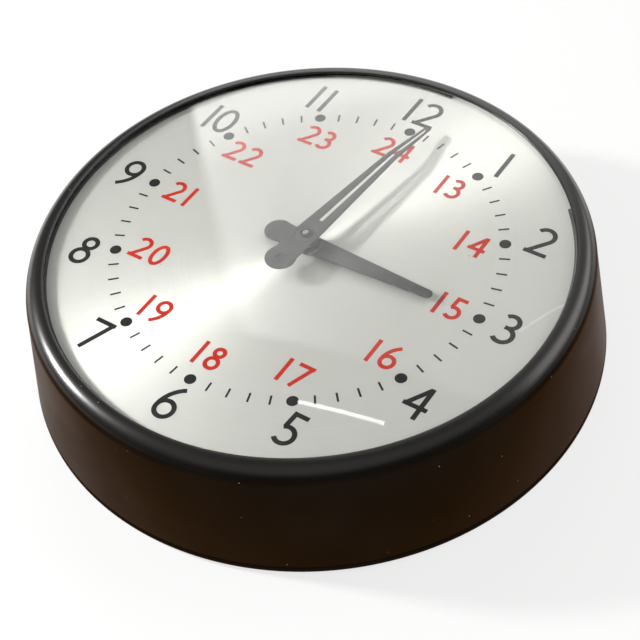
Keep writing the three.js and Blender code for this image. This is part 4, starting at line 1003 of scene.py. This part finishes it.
# Hands
def hand_outline(tip, tail, tail_r, tail_width, width):
    """Blade from its tip to the hub, and a round tail below it."""
    meet = math.degrees(math.acos(tail_width / 2 / tail_r))
    right = [(x, -tail + z) for x, z in arc(0, 0, tail_r, meet, -90, 40)]
    left = [(-x, z) for x, z in reversed(right[:-1])]
    return [*tip, (width / 2, 0), *right, *left, (-width / 2, 0)]


def make_hour_hand():
    tip = arc(0, HOUR_TIP - HOUR_TIP_R, HOUR_TIP_R, 180, 0, 24)
    outline = hand_outline(tip, HOUR_TAIL, HOUR_TAIL_R, HOUR_TAIL_WIDTH, HOUR_WIDTH)
    outlines = [outline, circle_points(HOUR_EYE_R)]
    hand = plate("hour_hand_blade", outlines, hour_front - HAND_THICK, hour_front, HAND_BEVEL)
    place(hand, clockwise(hour_turn))
    add_piece(hand, "hour_train", "hand_grey", hour_grey, "hour_hand")


def bend_down(bm):
    """Bends the minute hand's outer part towards the dial, through a short curve."""
    slope = MINUTE_DROP / (MINUTE_TIP - MINUTE_BEND)
    steps = 8
    for i in range(steps + 1):
        z = MINUTE_BEND + MINUTE_BEND_RUN * (i / steps - 0.5)
        geometry = [*bm.verts, *bm.edges, *bm.faces]
        bmesh.ops.bisect_plane(bm, geom=geometry, plane_co=(0, 0, z), plane_no=(0, 0, 1))
    start = MINUTE_BEND - MINUTE_BEND_RUN / 2
    for vert in bm.verts:
        past = vert.co.z - start
        if past <= 0:
            continue
        if past < MINUTE_BEND_RUN:
            vert.co.y += slope * past * past / (2 * MINUTE_BEND_RUN)
        else:
            vert.co.y += slope * (past - MINUTE_BEND_RUN / 2)


def make_minute_hand():
    half = MINUTE_TIP_WIDTH / 2
    tip = [(-half, MINUTE_TIP), (half, MINUTE_TIP)]
    outline = hand_outline(tip, MINUTE_TAIL, MINUTE_TAIL_R, MINUTE_TAIL_WIDTH, MINUTE_WIDTH)
    low, high = SLOT_WIDTH_FROM / 2, SLOT_WIDTH_TO / 2
    slot = [(-low, SLOT_FROM), (low, SLOT_FROM), (high, SLOT_TO), (-high, SLOT_TO)]
    outlines = [outline, slot, circle_points(MINUTE_EYE_R)]
    hand = plate("minute_hand_blade", outlines, minute_front - HAND_THICK, minute_front, HAND_BEVEL)
    dimple = turned("dimple", [
        (0, minute_front - DIMPLE_DEPTH),
        (DIMPLE_R - DIMPLE_DEPTH, minute_front - DIMPLE_DEPTH),
        (DIMPLE_R, minute_front + MM),
        (0, minute_front + MM),
    ], SMALL_SIDES)
    place(dimple, Matrix.Translation((0, 0, -MINUTE_TAIL)))
    cut(hand, dimple)
    bm = bmesh.new()
    bm.from_mesh(hand.data)
    bend_down(bm)
    bpy.data.objects.remove(hand)
    hand = finish_mesh(bm, "minute_hand_blade", PLATE_CREASE)
    place(hand, clockwise(minute_turn))
    add_piece(hand, "minute_train", "hand_grey", minute_grey, "minute_hand")


def make_bush(name, body, node, bore_r, spigot_r, seat_front, material):
    """A hand's bush: its flange behind the blade and its staked spigot in the eye, a touch proud."""
    front, back = depth_of(node)
    flange_r = outer_radius(node)
    seat = seat_front - HAND_THICK - SEAT_GAP
    edge = 0.2 * MM
    bush = turned(name, [
        (bore_r, back),
        (flange_r - edge, back),
        (flange_r, back + edge),
        (flange_r, seat - edge),
        (flange_r - edge, seat),
        (spigot_r, seat),
        (spigot_r, front - edge),
        (spigot_r - edge, front),
        (bore_r + edge, front),
        (bore_r, front - edge),
    ], SMALL_SIDES * 2)
    add_piece(bush, body, "hand_grey", material, node)


def make_nut():
    """A bright round pin with a cupped end in a collar coloured almost black, with a groove between them."""
    front, back = depth_of("hand_nut")
    flange_r = outer_radius("hand_nut")
    recess = 0.2 * MM
    recess_r = 1.9 * MM
    flange = 0.5 * MM
    groove = 0.3 * MM
    groove_r = 2.9 * MM
    groove_slope = 0.15 * MM
    pin_r = 1.75 * MM
    dome = 0.5 * MM
    cup_r = 0.95 * MM
    cup = 0.35 * MM
    nut = turned("hub_nut", [
        (0, back + recess),
        (recess_r, back + recess),
        (recess_r, back),
        (flange_r, back),
        (flange_r, back + flange * 0.7),
        (flange_r - flange * 0.4, back + flange),
        (groove_r, back + flange),
        (groove_r - groove_slope, back + groove),
        (pin_r, back + groove),
        *arc(pin_r - dome, front - dome, dome, 0, 90, 10),
        (cup_r, front),
        (cup_r - cup, front - cup),
        (0, front - cup),
    ], SMALL_SIDES)
    add_piece(nut, "minute_train", "steel", nut_steel, "hand_nut")


# Back cover and its screws
def keyhole_points(z, r, slot, rise):
    """Round end below, slot going up from it."""
    half = slot / 2
    meet = math.degrees(math.asin(half / r))
    points = [on_dial(r, meet + (360 - 2 * meet) * i / 48) for i in range(49)]
    return [(x, z + dz) for x, dz in points + arc(0, rise, half, 180, 0, 16)]


def pad_points(half, bottom, top, corner):
    """A rectangle with rounded corners."""
    points = []
    for x, z, start in ((half, top, 0), (-half, top, 90), (-half, bottom, 180), (half, bottom, 270)):
        middle_x = x - math.copysign(corner, x)
        middle_z = z - corner if z == top else z + corner
        points.extend(arc(middle_x, middle_z, corner, start, start + 90, 6))
    return points


def make_back_cover():
    keyhole = keyhole_points(KEYHOLE_Z, KEYHOLE_R, KEYHOLE_SLOT, KEYHOLE_RISE)
    cable_hole = circle_points(CABLE_HOLE_R, SMALL_SIDES, 0, CABLE_HOLE_Z)
    outlines = [circle_points(outer_radius("back_cover"), ROUND_SIDES), keyhole, cable_hole]
    cover = plate("back_plate_cover", outlines, 0, COVER_THICK, BEVEL)
    for i in range(COVER_SCREWS):
        x, z = on_dial(SCREW_CIRCLE, 45 + 90 * i)
        sink = turned("sink", [
            (0, -MM),
            (SINK_R + SINK_GAP, -MM),
            (SINK_R + SINK_GAP, 0),
            (SCREW_R + SINK_GAP, SINK_DEPTH),
            (SCREW_R + SINK_GAP, COVER_THICK + MM),
            (0, COVER_THICK + MM),
        ], SMALL_SIDES)
        place(sink, Matrix.Translation((x, 0, z)))
        cut(cover, sink)
    add_piece(cover, "case", "grey_paint", grey_paint, "back_cover")
    pad_half = KEYHOLE_R + PAD_MARGIN
    pad_top = KEYHOLE_Z + KEYHOLE_RISE + KEYHOLE_SLOT / 2 + PAD_MARGIN
    pad_outline = pad_points(pad_half, KEYHOLE_Z - pad_half, pad_top, PAD_CORNER)
    pad_back = COVER_THICK - PAD_BEVEL
    pad = plate("keyhole_pad", [pad_outline, keyhole], pad_back, depth_of("back_cover")[0], PAD_BEVEL)
    add_piece(pad, "case", "grey_paint", grey_paint)
    screws = grown("cover_screws", screw_ring_tree(), {
        "Circle": SCREW_CIRCLE, "Count": COVER_SCREWS, "Head": SINK_R, "Shank": SCREW_R, "Head Depth": SINK_DEPTH,
        "Length": depth_of("back_cover_screw_1")[0], "Slot": SCREW_SLOT, "Screw Material": zinc,
    })
    add_piece(screws, "case", "steel", zinc, *[f"back_cover_screw_{i + 1}" for i in range(COVER_SCREWS)])


def screw_ring_tree():
    """Slotted countersunk screws in a ring, the first halfway between two axes, with heads in the wall plane."""
    sizes = dict.fromkeys(["Circle", "Head", "Shank", "Head Depth", "Length", "Slot"], 0.0)
    tree, start, end = new_growth("screw_ring", sizes, "Screw Material")
    add_socket(tree, "Count", "INPUT", "Int")
    head_depth = start["Head Depth"]
    head = make(
        tree, "GeometryNodeMeshCone", Vertices=SMALL_SIDES, Depth=head_depth,
        Radius_Top=start["Shank"], Radius_Bottom=start["Head"],
    )
    slot_size = vector(tree, times(tree, start["Head"], 3.0), start["Slot"], head_depth)
    slot = make(tree, "GeometryNodeMeshCube", Size=slot_size)
    slotted = make(tree, "GeometryNodeMeshBoolean", {"operation": "DIFFERENCE"}, in0=head, in1=slot)
    length = maths(tree, "SUBTRACT", start["Length"], head_depth)
    shank = make(tree, "GeometryNodeMeshCylinder", Vertices=SMALL_SIDES, Radius=start["Shank"], Depth=length)
    middle = vector(tree, z=maths(tree, "MULTIPLY_ADD", length, 0.5, head_depth))
    raised = make(tree, "GeometryNodeTransform", Geometry=shank, Translation=middle)
    circle = make(tree, "GeometryNodeMeshCircle", Vertices=start["Count"], Radius=start["Circle"])
    screw = joined(tree, slotted, raised)
    spread = make(tree, "GeometryNodeInstanceOnPoints", Points=circle, Instance=screw)
    stood = make(tree, "GeometryNodeTransform", Geometry=spread, Rotation=(math.pi / 2, math.pi / 4, 0))
    return dress_growth(tree, stood, start["Screw Material"], end)


# Floor, lamps and room
def pale_stage(name, tone, shown_white):
    """A pale surface that the camera, metal and glass see nearer to white, with the shadows kept."""
    material, tree = new_material(name)
    path = make(tree, "LightPath").outputs
    direct = maths(tree, "MAXIMUM", path["Is Camera Ray"], path["Is Glossy Ray"])
    direct = maths(tree, "MAXIMUM", direct, path["Is Transmission Ray"])
    white = make(tree, "Emission", Color=1, Strength=1.0)
    share = times(tree, direct, shown_white)
    shown = make(tree, "MixShader", in0=share, in1=tree.nodes["Principled BSDF"], in2=white)
    # The clock's back can be seen through it from behind
    behind = make(tree, "NewGeometry").outputs["Backfacing"]
    nothing = make(tree, "BsdfTransparent")
    mixed = make(tree, "MixShader", in0=behind, in1=shown, in2=nothing)
    fill(tree, tree.nodes["Material Output"], Surface=mixed)
    return shaded(material, Base_Color=tone, Roughness=0.9, Specular_IOR_Level=0.1)


def make_floor():
    """The pale surface that the clock's back lies against, open behind the clock so that its cover has light."""
    n = SMALL_SIDES
    corners = [(x, FLOOR_BEHIND, z) for r in (REBATE_R, FLOOR_R) for x, z in circle_points(r, n)]
    faces = [[i, (i + 1) % n, n + (i + 1) % n, n + i] for i in range(n)]
    mesh = bpy.data.meshes.new("floor")
    mesh.from_pydata(corners, [], faces)
    mesh.materials.append(pale_stage("pale_floor", (0.9, 0.895, 0.89), FLOOR_WHITE))
    floor = new_object("floor", mesh)


def stood_at(place_at, right, up, back):
    """The matrix of a lamp or camera, from its place and the directions of its own axes."""
    return Matrix.Translation(place_at) @ Matrix((right, up, back)).transposed().to_4x4()


def area_lamp(name, place_at, along, width, height, power, tint):
    """A rectangle of light that faces the clock, with its width along the direction given."""
    lamp = bpy.data.lights.new(name, "AREA")
    lamp.shape = "RECTANGLE"
    lamp.size = width
    lamp.size_y = height
    lamp.energy = power
    lamp.color = tint
    holder = new_object(name, lamp)
    holder.visible_camera = False
    back = Vector(place_at).normalized()
    up = back.cross(Vector(along)).normalized()
    holder.matrix_world = stood_at(place_at, up.cross(back), up, back)


def make_world():
    """Soft light that is dim from the sides, with one large soft-edged window up and to the left."""
    world = bpy.data.worlds.new("studio")
    world.use_nodes = True
    tree = world.node_tree
    generated = make(tree, "TexCoord").outputs["Generated"]
    towards = make(tree, "SeparateXYZ", Vector=generated).outputs
    front = times(tree, towards[1], -1.0)
    ahead = maths(tree, "MAXIMUM", front, 0.02)
    across = maths(tree, "DIVIDE", towards[0], ahead)
    upward = maths(tree, "DIVIDE", towards[2], ahead)
    past_side, past_foot = [
        maths(tree, "SUBTRACT", maths(tree, "MULTIPLY_ADD", across, slope, upward), level)
        for slope, level in (WINDOW_SIDE, WINDOW_FOOT)
    ]
    inside = times(tree, ramp(tree, past_side, -0.03, 0.05), ramp(tree, past_foot, -0.02, 0.02))
    inside = times(tree, inside, ramp(tree, front, 0.05, 0.3))
    glow = 0.0
    for step in WINDOW_STEPS:
        glow = maths(tree, "ADD", glow, ramp(tree, across, *step))
    # The room is brighter on the camera's side than on the side that the glass mirrors
    leaning = maths(tree, "SUBTRACT", towards[2], towards[0])
    room = ramp(tree, leaning, -0.6, 0.25, SKY_NEAR, SKY_FAR)
    share = ramp(tree, front, 0.35, 0.8)
    sky = maths(tree, "MULTIPLY_ADD", maths(tree, "SUBTRACT", room, SKY_SIDE), share, SKY_SIDE)
    strength = maths(tree, "MULTIPLY_ADD", inside, glow, sky)
    strength = maths(tree, "ADD", strength, ramp(tree, front, -0.05, -0.3, 0, SKY_BACK))
    fill(tree, tree.nodes["Background"], Strength=strength, Color=(1.0, 0.995, 0.98))
    bpy.context.scene.world = world


def make_camera():
    camera = bpy.data.cameras.new("camera")
    camera.lens = CAMERA_LENS
    camera.sensor_width = CAMERA_SENSOR
    holder = new_object("camera", camera)
    right = CAMERA_RIGHT.normalized()
    back = right.cross(CAMERA_UP).normalized()
    holder.matrix_world = stood_at(CAMERA_AT, right, back.cross(right), back)
    bpy.context.scene.camera = holder


def dress_inside():
    """Finishes for the nodes that keep their own shape. One that ends in _ stands for all names that start so."""
    finishes = [
        (brass, "front_plate back_plate ratchet_wheel cannon_pinion minute_wheel hour_wheel pillar_"),
        (steel, "centre_arbor minute_wheel_stud drive_pawl_pin armature_pin return_spring stop_screw drive_pawl "
                "backstop_pawl backstop_pin dial_ring_screw_ bridge_screw_ movement_screw_ plate_screw_ "
                "terminal_screw_"),
        (zinc, "movement_bridge"),
        (iron, "yoke core_ armature"),
        (grey_paint, "dial_ring"),
        (bobbin_plastic, "bobbin_"),
        (copper, "coil_"),
        (terminal_brown, "terminal_block"),
        (lead_red, "lead_wire_"),
    ]
    for material, names in finishes:
        names = names.split()
        sets = tuple(name for name in names if name.endswith("_"))
        for name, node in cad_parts.items():
            if name in names or name.startswith(sets):
                coat(node, material)


bpy.context.scene.view_settings.view_transform = "Standard"
make_camera()
make_case()
make_glass()
make_glass_ring()
make_dial()
make_print()
make_hour_hand()
make_minute_hand()
make_bush("hour_bush", "hour_train", "hour_hand_bush", BORE_HOUR_R, SPIGOT_HOUR_R, hour_front, hour_grey)
make_bush(
    "minute_bush", "minute_train", "minute_hand_bush", BORE_MINUTE_R, SPIGOT_MINUTE_R, minute_front, minute_grey
)
make_nut()
make_back_cover()
dress_inside()
make_floor()
for lamp in LAMPS:
    area_lamp(*lamp)
make_world()

bpy.context.view_layer.update()
